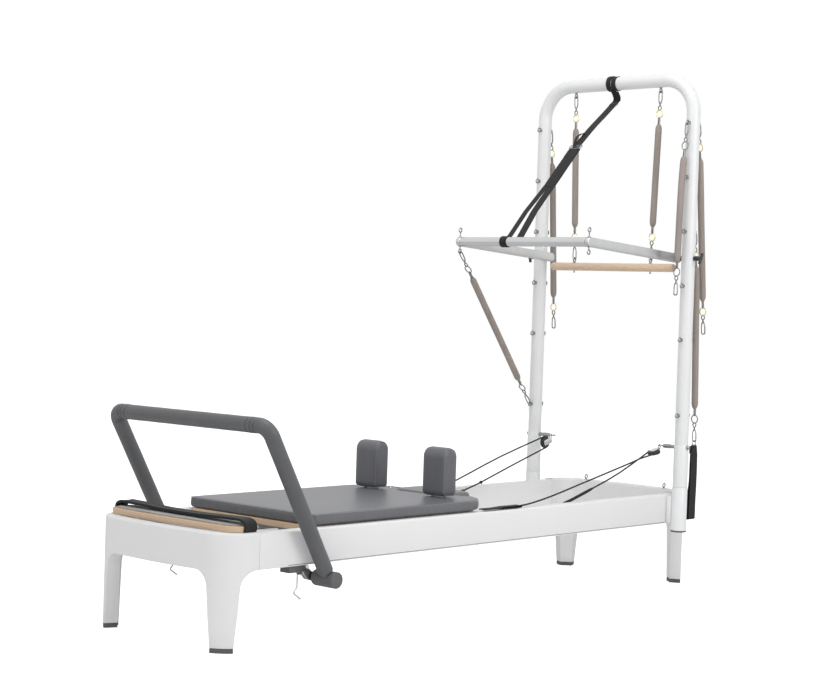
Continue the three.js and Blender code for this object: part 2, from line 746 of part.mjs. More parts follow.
// Push-through bar: a round cross tube between two flat arms that pivot on pins in the posts
const armRun = point(TOWER_X - PTB_BAR_X, 0, PTB_PIVOT_Z - PTB_BAR_Z);
function armOutline() {
  const angle = Math.atan2(armRun.z, armRun.x);
  const shape = new THREE.Shape();
  shape.absarc(PTB_BAR_X, PTB_BAR_Z, PTB_R, angle + Math.PI / 2, angle + 1.5 * Math.PI);
  shape.absarc(TOWER_X, PTB_PIVOT_Z, PTB_R, angle - Math.PI / 2, angle + Math.PI / 2);
  return shape;
}

const armInner = PTB_ARM_MID - PTB_ARM_THICK / 2;
const armOuter = PTB_ARM_MID + PTB_ARM_THICK / 2;
part('ptb_cross_tube', rod(point(PTB_BAR_X, -armInner + SEAT_GAP, PTB_BAR_Z),
  point(PTB_BAR_X, armInner - SEAT_GAP, PTB_BAR_Z), PTB_R, 20), silver);
for (const [name, side] of SIDES) {
  const arm = plate(armOutline(), side * armInner, side * armOuter, 2, 1, 6);
  const hole = rod(point(TOWER_X, side * (armInner - 5), PTB_PIVOT_Z),
    point(TOWER_X, side * (armOuter + 5), PTB_PIVOT_Z), boreRadius(PTB_PIN, 8), 8);
  const eyes = [1, -1].map((way) => {
    const seat = point(PTB_BAR_X, side * PTB_ARM_MID, PTB_BAR_Z + way * (PTB_R - 0.3));
    return screwEye(seat, point(0, 0, way), point(0, 1, 0), way > 0 ? PTB_EYE_HIGH : PTB_EYE_LOW);
  });
  part(`ptb_arm_${name}`, join(cut(arm, hole), ...eyes), silver);
}

// T-handled pins that carry the arms and lock them to the posts
for (const [name, side] of SIDES) {
  const at = (y) => point(TOWER_X, side * y, PTB_PIVOT_Z);
  const postOut = TOWER_HALF + TUBE_R;
  const tee = postOut + LOCK_REACH;
  const lean = side < 0 ? point(0.45, 0, 0.9) : point(-0.25, 0, 0.95);
  const half = lean.normalize().multiplyScalar(LOCK_TEE / 2);
  part(`ptb_lock_${name}`, join(
    rod(at(armInner + 1), at(tee - 4), PTB_PIN, 8),
    rod(at(armOuter + 1), at(TOWER_HALF - TUBE_R - 1), LOCK_FERRULE, 10),
    rod(at(postOut + 1), at(tee - 8), LOCK_FERRULE, 10),
    rod(at(tee).sub(half), at(tee).add(half), LOCK_TEE_ROD, 8),
  ), blackPlastic);
}

// A sleeved spring from one eye to another place, which may drape over something on the way:
// a snap hook, a ring, the spring in its fabric sleeve, a ring and a snap hook
function sleevedSpring([hang, ...others]) {
  const end = others[others.length - 1];
  const bend = others.length > 1 ? others[0] : hang.clone().lerp(end, 0.5);
  const first = hang.distanceTo(bend);
  const length = first + bend.distanceTo(end);
  const down = bend.clone().sub(hang).normalize();
  const away = end.clone().sub(bend).normalize();
  const at = (s) => {
    const share = (s - first + DRAPE_BEND) / (2 * DRAPE_BEND);
    if (share <= 0) {
      return hang.clone().addScaledVector(down, s);
    }
    if (share >= 1) {
      return bend.clone().addScaledVector(away, s - first);
    }
    const entry = bend.clone().addScaledVector(down, -DRAPE_BEND * (1 - share));
    const exit = bend.clone().addScaledVector(away, DRAPE_BEND * share);
    return entry.lerp(exit, share);
  };
  const ringMiddle = SNAP_LENGTH + SPRING_RING - 1;
  const pieces = [];
  for (const [from, way, along] of [[0, 1, down], [length, -1, away]]) {
    const out = along.clone().multiplyScalar(way);
    const across = point(0, 1, 0).addScaledVector(along, -along.y).normalize();
    const start = at(from);
    pieces.push(wireLoop(start, out, across, SNAP_LENGTH, SNAP_WIDTH, SNAP_WIRE));
    pieces.push(ring(start.clone().addScaledVector(out, ringMiddle), out.clone().cross(across), SPRING_RING, SPRING_RING_WIRE));
  }
  const neck = ringMiddle + SPRING_RING - 1;
  const low = SPRING_NECK;
  const high = length - SPRING_NECK;
  const drape = others.length > 1 ? [first - DRAPE_BEND, first, first + DRAPE_BEND] : [];
  const stops = [neck, low, low + SLEEVE_TAPER, ...drape, high - SLEEVE_TAPER, high, length - neck];
  const full = drape.map(() => SLEEVE_RADIUS);
  const radii = [NECK_RADIUS, SLEEVE_END, SLEEVE_RADIUS, ...full, SLEEVE_RADIUS, SLEEVE_END, NECK_RADIUS];
  pieces.push(laidTube(stops.map(at), radii, 8, point(0, 1, 0)));
  return join(...pieces);
}

const longSpring = SLEEVE_LONG + 2 * SPRING_NECK;
const shortSpring = SLEEVE_SHORT + 2 * SPRING_NECK;
const snapSeat = EYE_RING - EYE_WIRE - HOOK_GAP - 2 * SNAP_WIRE;
const eyeOut = TUBE_R - 0.3 + EYE_REACH;
function postEye(side, way, level) {
  return point(TOWER_X + way * eyeOut, side * TOWER_HALF, level);
}

// A spring hung from a post's eye drapes over the next eye down, then hangs at its own lean
function draped(side, way, rank, lean, length) {
  const hang = postEye(side, way, EYE_LEVELS[rank]).add(point(0, 0, -snapSeat));
  const clear = eyeOut + EYE_RING + EYE_WIRE + SLEEVE_RADIUS + DRAPE_GAP;
  const bend = point(TOWER_X + way * clear, side * TOWER_HALF, EYE_LEVELS[rank + 1]);
  const rest = length - hang.distanceTo(bend);
  const angle = THREE.MathUtils.degToRad(lean);
  const end = bend.clone().add(point(way * rest * Math.sin(angle), 0, -rest * Math.cos(angle)));
  return [hang, bend, end];
}

const nearLow = draped(-1, 1, 2, 2.2, longSpring);
part('spring_far_back', sleevedSpring(draped(1, 1, 0, 3.7, longSpring)), taupe);
part('spring_near_front', sleevedSpring(draped(-1, -1, 0, 1.8, shortSpring)), taupe);
part('spring_near_back', sleevedSpring(draped(-1, 1, 0, 5.5, longSpring)), taupe);
part('spring_near_low', sleevedSpring(nearLow), taupe);

// The spring that loads the push-through bar, from its far lower eye to the far post's lowest eye
const barEye = point(PTB_BAR_X, PTB_ARM_MID, PTB_BAR_Z - PTB_R + 0.3 - PTB_EYE_LOW);
const postLow = postEye(1, -1, EYE_LEVELS[5]);
const pull = postLow.clone().sub(barEye).normalize().multiplyScalar(snapSeat);
part('spring_push_bar', sleevedSpring([barEye.clone().add(pull), postLow.clone().sub(pull)]), taupe);

// Roll-down bar: a wooden dowel with an eye screwed in under each spring
const rollHalf = ROLL_BAR_LENGTH / 2;
const rollProfile = [
  [0, 0], [ROLL_BAR_RADIUS - 4, 0], [ROLL_BAR_RADIUS, 4],
  [ROLL_BAR_RADIUS, ROLL_BAR_LENGTH - 4], [ROLL_BAR_RADIUS - 4, ROLL_BAR_LENGTH], [0, ROLL_BAR_LENGTH],
];
const rollSeat = ROLL_BAR_Z + ROLL_BAR_RADIUS - 0.3;
const rollEyes = SIDES.map(([, side]) => (
  screwEye(point(TOWER_X, side * ROLL_EYE_SPREAD, rollSeat), point(0, 0, 1), point(0, 1, 0))));
const dowel = turned(rollProfile, point(TOWER_X, -rollHalf, ROLL_BAR_Z), point(0, 1, 0), 16);
part('roll_down_bar', join(dowel, ...rollEyes), maple);
for (const [name, side] of SIDES) {
  const upper = point(TOWER_X, side * CROSSBAR_EYE_SPREAD, TOWER_TOP - TUBE_R + 0.3 - EYE_REACH);
  const lower = point(TOWER_X, side * ROLL_EYE_SPREAD, rollSeat + EYE_REACH);
  const seat = lower.clone().sub(upper).normalize().multiplyScalar(snapSeat);
  part(`roll_spring_${name}`, sleevedSpring([upper.add(seat), lower.sub(seat)]), taupe);
}

// Safety strap: webbing looped round the crossbar and the push-through bar, in two strands below
const strapTop = point(TOWER_X, STRAP_TOP_Y, TOWER_TOP);
const strapFoot = point(PTB_BAR_X, STRAP_FOOT_Y, PTB_BAR_Z);
const buckle = point(TOWER_X + STRAP_SET, STRAP_TOP_Y + 2, TOWER_TOP - STRAP_DROP);
function webLoop(centre, radius, width) {
  const sides = 16;
  const inner = radius / Math.cos(Math.PI / sides);
  const outer = inner + WEB_THICK;
  const half = width / 2;
  const profile = [[inner, -half], [outer, -half], [outer, half], [inner, half], [inner, -half]];
  return turned(profile, centre, point(0, 1, 0), sides);
}

// A band of webbing laid through centres, as wide as each centre's own width
function webBand(centres, widths) {
  const positions = [];
  const count = centres.length;
  centres.forEach((centre, i) => {
    const along = centres[Math.min(i + 1, count - 1)].clone().sub(centres[Math.max(i - 1, 0)]).normalize();
    const across = point(0, 1, 0).addScaledVector(along, -along.y).normalize();
    const outward = across.clone().cross(along);
    for (const [u, v] of [[-1, -1], [1, -1], [1, 1], [-1, 1]]) {
      const corner = centre.clone().addScaledVector(across, (u * widths[i]) / 2);
      corner.addScaledVector(outward, (v * WEB_THICK) / 2);
      positions.push(corner.x, corner.y, corner.z);
    }
  });
  const index = [];
  for (let i = 0; i < 4 * (count - 1); i += 4) {
    for (let j = 0; j < 4; j += 1) {
      const k = (j + 1) % 4;
      index.push(i + j, i + j + 4, i + k, i + k, i + j + 4, i + k + 4);
    }
  }
  const end = 4 * (count - 1);
  index.push(0, 1, 2, 0, 2, 3, end, end + 2, end + 1, end, end + 3, end + 2);
  const geometry = new THREE.BufferGeometry();
  geometry.setAttribute('position', new THREE.Float32BufferAttribute(positions, 3));
  geometry.setIndex(index);
  return geometry;
}
const strandMiddle = (STRAP_FOOT_Y + STRAP_TAIL_Y) / 2;
const strandSpread = (STRAP_FOOT_Y - STRAP_TAIL_Y) / 2;
const strapRun = point(PTB_BAR_X, strandMiddle, PTB_BAR_Z).sub(buckle);
const strapLength = strapRun.length();
// Lift and sideways shift of the stiff sewn strap from its chord, at shares of its run
const strapBow = [
  [0, 0, 0], [0.18, 15, 3], [0.31, 28, 4], [0.39, 29, 6], [0.52, 20, 8], [0.62, 10, 11], [0.8, 5, 15], [1, 0, 0],
];
function onStrap(share, shift) {
  const next = Math.max(1, strapBow.findIndex(([place]) => place >= share));
  const [from, lift, aside] = strapBow[next - 1];
  const [to, nextLift, nextAside] = strapBow[next];
  const part = (share - from) / (to - from);
  const raised = lift + (nextLift - lift) * part;
  return buckle.clone().addScaledVector(strapRun, share).add(point(0, shift + aside + (nextAside - aside) * part, raised));
}
const sleeveFrom = 0.36;
const sleeveTo = 0.6;
const strapEnd = 1 - (PTB_R + SEAT_GAP + WEB_THICK / 2) / strapLength;
const hang = TUBE_R + SEAT_GAP + WEB_THICK / 2;
const dropBand = [
  strapTop.clone().add(point(2, 0, -hang - 1)), buckle.clone().add(point(-2, -1, 14)),
  buckle.clone().add(point(-3, 0, -1)), onStrap(0.12, 0), onStrap(0.25, 0), onStrap(sleeveFrom + 0.01, 0),
];
const dropWidths = [WEB_NARROW + 8, WEB_NARROW + 4, WEB_NARROW + 2, WEB_NARROW, WEB_NARROW, WEB_NARROW];
const strands = [[1, 0.42], [-1, 0.55]].map(([way, width]) => {
  const shares = [sleeveTo - 0.012, 0.7, 0.8, 0.9, strapEnd];
  const start = (WEB_WIDTH * (1 - width)) / 2;
  const centres = shares.map((share) => {
    const along = Math.max(0, share - sleeveTo) / (1 - sleeveTo);
    return onStrap(share, way * (start + (strandSpread - start) * along));
  });
  return webBand(centres, shares.map(() => WEB_WIDTH * width));
});
part('safety_strap', join(
  webLoop(strapTop, TUBE_R + SEAT_GAP, WEB_WIDTH + 4),
  webBand(dropBand, dropWidths),
  webBand([sleeveFrom, 0.45, 0.52, sleeveTo].map((share) => onStrap(share, 0)), [WEB_WIDTH, WEB_WIDTH, WEB_WIDTH, WEB_WIDTH]),
  ...strands,
  webLoop(strapFoot, PTB_R + SEAT_GAP, WEB_NARROW + 5),
), webbing);

// Cotton loop hanging from the low near spring by its D-ring
const lowEnd = nearLow[2];
const loopRing = 11;
const ringTop = lowEnd.z + 2 * SNAP_WIRE + HOOK_GAP + EYE_WIRE;
const ringCentre = point(lowEnd.x, lowEnd.y, ringTop - loopRing);
function loopStrap() {
  const top = ringCentre.z - loopRing + 3;
  const outline = new THREE.Shape();
  const half = LOOP_WIDTH / 2;
  const low = top - LOOP_LENGTH;
  outline.moveTo(-half + 8, top);
  outline.lineTo(-half, top - 14);
  outline.lineTo(-half - 3, low + 8);
  outline.lineTo(-half + 4, low);
  outline.lineTo(half - 4, low);
  outline.lineTo(half + 3, low + 8);
  outline.lineTo(half, top - 14);
  outline.lineTo(half - 8, top);
  const body = slab(outline, -LOOP_THICK / 2, LOOP_THICK / 2, 2, 1);
  body.rotateX(Math.PI / 2).rotateZ(Math.PI / 2).translate(ringCentre.x, ringCentre.y, 0);
  return join(body, ring(ringCentre, point(0, 1, 0), loopRing, EYE_WIRE, 12, 6));
}
part('loop_strap', loopStrap(), webbing);

// Carriage: a steel underframe on four wheels carries a plywood deck and a vinyl pad
const deckHalf = DECK_WIDTH / 2;
const barOuter = RAIL_IN - RAIL_FLANGE + 4;
const wheelInner = RAIL_IN - 7 - WHEEL_THICK;
const frameTop = DECK_BOTTOM - SEAT_GAP;
const frameLow = TRACK_TOP + 20;
const frameFront = PAD_FRONT + 22;
const frameBack = PAD_BACK - 8;
function carriageFrame() {
  const pieces = [];
  for (const [, side] of SIDES) {
    const y0 = side * (barOuter - SIDE_BAR_THICK);
    const y1 = side * barOuter;
    const y2 = side * (barOuter - 30);
    const low = Math.min(y0, y1);
    const high = Math.max(y0, y1);
    pieces.push(block(point(frameFront, low, frameLow), point(frameBack, high, frameTop)));
    pieces.push(block(point(frameFront, Math.min(y1, y2), frameTop - SIDE_BAR_THICK),
      point(frameBack, Math.max(y1, y2), frameTop)));
    for (const x of [WHEEL_FRONT_X, WHEEL_BACK_X]) {
      pieces.push(rod(point(x, y0, AXLE_Z), point(x, side * (wheelInner + WHEEL_THICK), AXLE_Z), AXLE_RADIUS, 8));
      pieces.push(rod(point(x, y0, AXLE_Z), point(x, side * (wheelInner - RUN_GAP), AXLE_Z), AXLE_RADIUS + 4, 8));
    }
    pieces.push(block(point(frameBack - 8, Math.min(side * 216, y1), frameLow),
      point(ANCHOR_BACK, Math.max(side * 216, y1), frameLow + 36)));
  }
  const inside = barOuter - SIDE_BAR_THICK / 2;
  for (const x of [frameFront, frameBack - CROSS_BAR]) {
    pieces.push(block(point(x, -inside, frameTop - CROSS_BAR), point(x + CROSS_BAR, inside, frameTop)));
  }
  return join(...pieces);
}
part('carriage_frame', carriageFrame(), steel);

const pinPlaces = SIDES.flatMap(([, side]) => [-1, 1].map((way) => (
  point(REST_X, side * REST_Y + (way * REST_PIN_SPREAD) / 2, 0))));
const pinHoles = () => pinPlaces.map((place) => (
  rod(place.clone().setZ(DECK_BOTTOM - 5), place.clone().setZ(PAD_TOP + 5), REST_PIN + RUN_GAP, 8)));

const deckShape = roundedBox(PAD_BACK - PAD_FRONT + DECK_OVERHANG - 6, DECK_WIDTH, 12);
const deckMiddle = (PAD_BACK - 6 + PAD_FRONT - DECK_OVERHANG) / 2;
const deck = slab(deckShape, DECK_BOTTOM, PAD_BOTTOM - SEAT_GAP).translate(deckMiddle, 0, 0);
part('carriage_deck', cut(deck, ...pinHoles()), birch);

// Pad outline: square at the foot, sloping shoulders and a bay for the headrest at the back
function padOutline() {
  const half = PAD_WIDTH / 2;
  const bay = HEADREST_WIDTH / 2 + HEADREST_SIDE_GAP;
  const corner = 14;
  const shape = new THREE.Shape();
  shape.moveTo(PAD_FRONT, -half + corner);
  shape.absarc(PAD_FRONT + corner, -half + corner, corner, Math.PI, 1.5 * Math.PI);
  shape.lineTo(PAD_BACK - SHOULDER_RUN, -half);
  shape.absellipse(PAD_BACK - SHOULDER_RUN, -half + SHOULDER_DROP, SHOULDER_RUN, SHOULDER_DROP, 1.5 * Math.PI, 2 * Math.PI);
  shape.lineTo(PAD_BACK, -bay);
  shape.lineTo(HEADREST_FRONT - HEADREST_GAP, -bay);
  shape.lineTo(HEADREST_FRONT - HEADREST_GAP, bay);
  shape.lineTo(PAD_BACK, bay);
  shape.lineTo(PAD_BACK, half - SHOULDER_DROP);
  shape.absellipse(PAD_BACK - SHOULDER_RUN, half - SHOULDER_DROP, SHOULDER_RUN, SHOULDER_DROP, 0, Math.PI / 2);
  shape.lineTo(PAD_FRONT + corner, half);
  shape.absarc(PAD_FRONT + corner, half - corner, corner, Math.PI / 2, Math.PI);
  return shape;
}
const pad = slab(padOutline(), PAD_BOTTOM, PAD_TOP, PAD_EDGE);
part('carriage_pad', cut(pad, ...pinHoles()), vinyl);

const headrestLength = HEADREST_BACK - HEADREST_FRONT;
const headrestShape = roundedBox(headrestLength, HEADREST_WIDTH, HEADREST_CORNER);
const headrest = slab(headrestShape, PAD_BOTTOM, HEADREST_TOP, 12);
part('headrest', headrest.translate((HEADREST_BACK + HEADREST_FRONT) / 2, 0, 0), vinyl);

// Shoulder rests: upholstered blocks on two pins that drop into the deck
const restBottom = PAD_TOP + REST_LIFT;
for (const [name, side] of SIDES) {
  const outline = new THREE.Shape();
  const w = REST_DEPTH / 2;
  const low = restBottom;
  const high = restBottom + REST_HEIGHT;
  const foot = 16;
  outline.moveTo(w, low + foot);
  outline.lineTo(w, high - w);
  outline.absarc(0, high - w, w, 0, Math.PI);
  outline.lineTo(-w, low + foot);
  outline.absarc(-w + foot, low + foot, foot, Math.PI, 1.5 * Math.PI);
  outline.lineTo(w - foot, low);
  outline.absarc(w - foot, low + foot, foot, 1.5 * Math.PI, 2 * Math.PI);
  const middle = side * REST_Y;
  const cushion = plate(outline, middle - REST_WIDTH / 2, middle + REST_WIDTH / 2, 12, 2, 3).translate(REST_X, 0, 0);
  const pins = [-1, 1].map((way) => {
    const y = middle + (way * REST_PIN_SPREAD) / 2;
    return rod(point(REST_X, y, restBottom - REST_PIN_LENGTH), point(REST_X, y, restBottom + 12), REST_PIN, 8);
  });
  part(`shoulder_rest_${name}`, join(cushion, ...pins), vinyl);
}

// Wheels on the carriage axles, running on the rail flanges
for (const [place, x] of [['front', WHEEL_FRONT_X], ['back', WHEEL_BACK_X]]) {
  for (const [name, side] of SIDES) {
    const bore = AXLE_RADIUS + RUN_GAP;
    const profile = [
      [bore, 0], [WHEEL_RADIUS - 2, 0], [WHEEL_RADIUS, 2],
      [WHEEL_RADIUS, WHEEL_THICK - 2], [WHEEL_RADIUS - 2, WHEEL_THICK], [bore, WHEEL_THICK], [bore, 0],
    ];
    part(`wheel_${place}_${name}`, turned(profile, point(x, side * wheelInner, AXLE_Z), point(0, side, 0), 18), blackPlastic);
  }
}

// Spring bar across the rails, and the coil springs hooked between it and the carriage
const barHalf = SPRING_BAR_SIZE / 2;
part('spring_bar', block(point(SPRING_BAR_X - barHalf, -RAIL_IN + SEAT_GAP, SPRING_BAR_Z - barHalf),
  point(SPRING_BAR_X + barHalf, RAIL_IN - SEAT_GAP, SPRING_BAR_Z + barHalf)), steel);

function coil(from, to, turns) {
  const axis = to.x - from.x;
  const straight = 2 * COIL_WIRE;
  const perTurn = 8;
  const steps = turns * perTurn;
  const centres = [from.clone(), from.clone().add(point(straight, 0, 0))];
  const wound = axis - 2 * straight - 4 * COIL_WIRE;
  for (let i = 0; i <= steps; i += 1) {
    const angle = (2 * Math.PI * i) / perTurn;
    const grow = Math.min(1, i / 4, (steps - i) / 4);
    const radius = COIL_RADIUS * grow;
    const x = from.x + straight + 2 * COIL_WIRE + (wound * i) / steps;
    if (radius > 0) {
      centres.push(point(x, from.y + radius * Math.cos(angle), from.z + radius * Math.sin(angle)));
    }
  }
  centres.push(to.clone().add(point(-straight, 0, 0)), to.clone());
  const least = (wound / turns) - 2 * COIL_WIRE;
  if (least < 0.4) {
    throw new Error('coil turns touch');
  }
  return { geometry: laidTube(centres, centres.map(() => COIL_WIRE), 5, point(0, 0, 1)), least };
}

for (let i = 0; i < SPRING_COUNT; i += 1) {
  const y = (i - (SPRING_COUNT - 1) / 2) * SPRING_SPACING;
  const from = point(SPRING_BAR_X + barHalf + SEAT_GAP, y, SPRING_BAR_Z);
  const to = point(frameFront - SEAT_GAP, y, SPRING_BAR_Z);
  const { geometry, least } = coil(from, to, COIL_TURNS);
  if (i === 0) {
    console.log(`least gap between coil turns ${least.toFixed(2)} mm`);
  }
  part(`carriage_spring_${i + 1}`, geometry, steel);
}

// Standing platform: bowed plywood board, grip mat and a foot strap arched over both
function boardOutline(inset) {
  const half = BOARD_LENGTH / 2 - inset;
  const depth = BOARD_DEPTH / 2 - inset;
  const end = Math.min(BOARD_END, depth - 2);
  const shape = new THREE.Shape();
  shape.moveTo(depth, -half + end);
  shape.lineTo(depth, half - end);
  shape.absarc(depth - end, half - end, end, 0, Math.PI / 2);
  shape.lineTo(-depth + end, half);
  shape.absarc(-depth + end, half - end, end, Math.PI / 2, Math.PI);
  const bowSteps = 6;
  for (let k = 1; k < bowSteps; k += 1) {
    const share = 1 - (2 * k) / bowSteps;
    shape.lineTo(-depth - BOARD_BOW * (1 - share * share), share * (half - end));
  }
  shape.lineTo(-depth, -half + end);
  shape.absarc(-depth + end, -half + end, end, Math.PI, 1.5 * Math.PI);
  shape.lineTo(depth - end, -half);
  shape.absarc(depth - end, -half + end, end, 1.5 * Math.PI, 2 * Math.PI);
  return shape;
}
const boardBottom = BOARD_TOP - BOARD_THICK;
const board = slab(boardOutline(0), boardBottom, BOARD_TOP, 2, 1).translate(BOARD_X, 0, 0);
const cleats = SIDES.map(([, side]) => {
  const outer = side * (RAIL_OUT - END_WALL - 2);
  const inner = outer - side * CLEAT_WIDTH;
  return block(point(BOARD_X + 4, Math.min(outer, inner), boardBottom - CLEAT_DEPTH),
    point(BOARD_X + 4 + CLEAT_LENGTH, Math.max(outer, inner), boardBottom + 3));
});
part('platform_board', join(board, ...cleats), birch);
const mat = slab(boardOutline(MAT_INSET), BOARD_TOP + SEAT_GAP, BOARD_TOP + SEAT_GAP + MAT_THICK);
part('platform_mat', mat.translate(BOARD_X, 0, 0), matGrey);

function archStrap() {
  const out = BOARD_LENGTH / 2 + SEAT_GAP;
  const low = BOARD_TOP - BOARD_THICK + 3;
  const rise = BOARD_TOP + 2;
  const crown = BOARD_TOP + SEAT_GAP + MAT_THICK + STRAP_ARCH - STRAP_THICK;
  const edge = (grow) => [
    [out + grow, low], [out + grow, rise], [out - 9 + grow * 0.7, crown - 3 + grow * 0.7],
    [out - 26, crown + grow], [90, crown - 5 + grow], [-90, crown - 5 + grow],
    [-out + 26, crown + grow], [-out + 9 - grow * 0.7, crown - 3 + grow * 0.7],
    [-out - grow, rise], [-out - grow, low],
  ];
  const outline = [...edge(STRAP_THICK), ...edge(0).reverse()].map(([y, z]) => new THREE.Vector2(y, z));
  const band = new THREE.ExtrudeGeometry(new THREE.Shape(outline), { depth: STRAP_WIDTH, bevelEnabled: false });
  return band.translate(0, 0, -STRAP_WIDTH / 2).rotateX(Math.PI / 2).rotateZ(Math.PI / 2).translate(BOARD_X + 8, 0, 0);
}
part('platform_strap', archStrap(), webbing);

// Footbar: one bent tube between two hubs, under three padded grips
const lean = THREE.MathUtils.degToRad(FOOTBAR_LEAN);
const barTop = point(FOOTBAR_X - FOOTBAR_REACH * Math.sin(lean), 0, FOOTBAR_Z + FOOTBAR_REACH * Math.cos(lean));
const footCorners = [
  point(FOOTBAR_X, -FOOTBAR_HALF, FOOTBAR_Z),
  point(barTop.x, -FOOTBAR_HALF, barTop.z),
  point(barTop.x, FOOTBAR_HALF, barTop.z),
  point(FOOTBAR_X, FOOTBAR_HALF, FOOTBAR_Z),
];
const footRoute = bentRoute(footCorners, FOOTBAR_BEND, FOOTBAR_BEND_STEPS);
const armStep = footRoute[1].clone().sub(footRoute[0]).normalize();
const gripStart = footRoute[0].clone().addScaledVector(armStep, HUB_RADIUS + SEAT_GAP);
const gripStartFar = point(gripStart.x, -gripStart.y, gripStart.z);
function footbarTube() {
  const pieces = [sweep(footRoute, FOOTBAR_TUBE, 9)];
  const bores = [];
  for (const [, side] of SIDES) {
    const inner = point(FOOTBAR_X, side * HUB_INNER, FOOTBAR_Z);
    pieces.push(rod(inner, point(FOOTBAR_X, side * HUB_OUTER, FOOTBAR_Z), HUB_RADIUS, 16));
    bores.push(rod(point(FOOTBAR_X, side * (HUB_INNER - 5), FOOTBAR_Z),
      point(FOOTBAR_X, side * (HUB_INNER + 40), FOOTBAR_Z), boreRadius(HUB_PIN, 10), 10));
  }
  return cut(join(...pieces), ...bores);
}
part('footbar_tube', footbarTube(), vinyl);
function grip(points) {
  const outer = sweep(points, FOOTBAR_GRIP, 11);
  const first = points[0].clone().multiplyScalar(2).sub(points[1]).sub(points[0]).normalize();
  const final = points[points.length - 1].clone().sub(points[points.length - 2]).normalize();
  const inner = [points[0].clone().addScaledVector(first, 5), ...points.slice(1, -1),
    points[points.length - 1].clone().addScaledVector(final, 5)];
  const bore = (FOOTBAR_TUBE + SEAT_GAP) / Math.cos(Math.PI / 9);
  return cut(outer, sweep(inner, bore, 9));
}
const bendEnd = FOOTBAR_BEND_STEPS + 1;
const splitPoint = footRoute.length - 1 - bendEnd;
const onTop = (index, beyond) => footRoute[index].clone().add(point(0, beyond, 0));
const nearGrip = [gripStart, ...footRoute.slice(1, bendEnd + 1), onTop(bendEnd, GRIP_BUTT)];
const farGrip = [onTop(splitPoint, -GRIP_BUTT), ...footRoute.slice(splitPoint, -1), gripStartFar];
const topGrip = [onTop(bendEnd, GRIP_BUTT + SEAT_GAP), onTop(splitPoint, -GRIP_BUTT - SEAT_GAP)];
part('footbar_grip_near', grip(nearGrip), vinyl);
part('footbar_grip_far', grip(farGrip), vinyl);
part('footbar_grip_top', grip(topGrip), vinyl);

// Footbar trolleys: blocks that run in the T-slot under each rail, with curved chrome links
for (const [name, side] of SIDES) {
  const half = TROLLEY_LENGTH / 2;
  const top = RAIL_BOTTOM - SEAT_GAP;
  const span = (low, high) => [Math.min(side * low, side * high), Math.max(side * low, side * high)];
  const box = (x0, x1, yLow, yHigh, z0, z1) => {
    const [a, b] = span(yLow, yHigh);
    return block(point(x0, a, z0), point(x1, b, z1));
  };
  const stem = SLOT_MOUTH / 2 - RUN_GAP;
  const head = SLOT_WIDTH / 2 - RUN_GAP;
  const lip = RAIL_BOTTOM + SLOT_LIP + SEAT_GAP;
  const roof = RAIL_BOTTOM + SLOT_LIP + SLOT_DEPTH - RUN_GAP;
  const slotY = SLOT_MIDDLE;
  const body = join(
    box(TROLLEY_X - half, TROLLEY_X + half, slotY - TROLLEY_WIDTH / 2, slotY + TROLLEY_WIDTH / 2 - 4, top - TROLLEY_DROP, top),
    box(TROLLEY_X - half, TROLLEY_X + half, slotY - stem, slotY + stem, top - 2, roof),
    box(TROLLEY_X - half, TROLLEY_X + half, slotY - head, slotY + head, lip, roof),
    box(TROLLEY_X + 18, TROLLEY_X + 28, slotY - 2, slotY + 6, top - TROLLEY_DROP - 10, top - 2),
  );
  part(`footbar_trolley_${name}`, body, blackPlastic);

  const outline = new THREE.Shape();
  const linkTop = top - 4;
  const start = TROLLEY_X + half + SEAT_GAP;
  outline.moveTo(start, linkTop);
  outline.quadraticCurveTo(start + 4, FOOTBAR_Z - 8, FOOTBAR_X - 4, FOOTBAR_Z - 14);
  outline.absarc(FOOTBAR_X, FOOTBAR_Z, 14, 1.4 * Math.PI, 0.6 * Math.PI);
  outline.quadraticCurveTo(start + 30, FOOTBAR_Z + 16, start + 26, linkTop);
  const plates = [276, 290].map((y) => {
    const [a, b] = span(y, y + LINK_PLATE);
    return plate(outline, a, b, 0, 1, 3);
  });
  const pin = rod(point(FOOTBAR_X, side * 274, FOOTBAR_Z), point(FOOTBAR_X, side * (HUB_INNER + 38), FOOTBAR_Z), HUB_PIN, 10);
  const bridge = box(start, start + 26, 276, 296, linkTop - 8, linkTop);
  part(`footbar_link_${name}`, join(...plates, pin, bridge), chrome);

  const leverX = TROLLEY_X + 23;
  const pivot = top - TROLLEY_DROP - 5;
  const leverY = side * (slotY - 6);
  const wireRoute = [
    point(leverX, leverY, pivot), point(leverX, leverY, pivot - 46),
    point(leverX - 14, leverY, pivot - 60), point(leverX + 15, leverY, pivot - 80),
  ];
  const eye = rod(point(leverX, side * (slotY - 9), pivot), point(leverX, side * (slotY - 2 - SEAT_GAP), pivot), 4.5, 10);
  part(`release_lever_${name}`, join(eye, sweep(bentRoute(wireRoute, 4, 2), LEVER_WIRE, 8)), chrome);
}

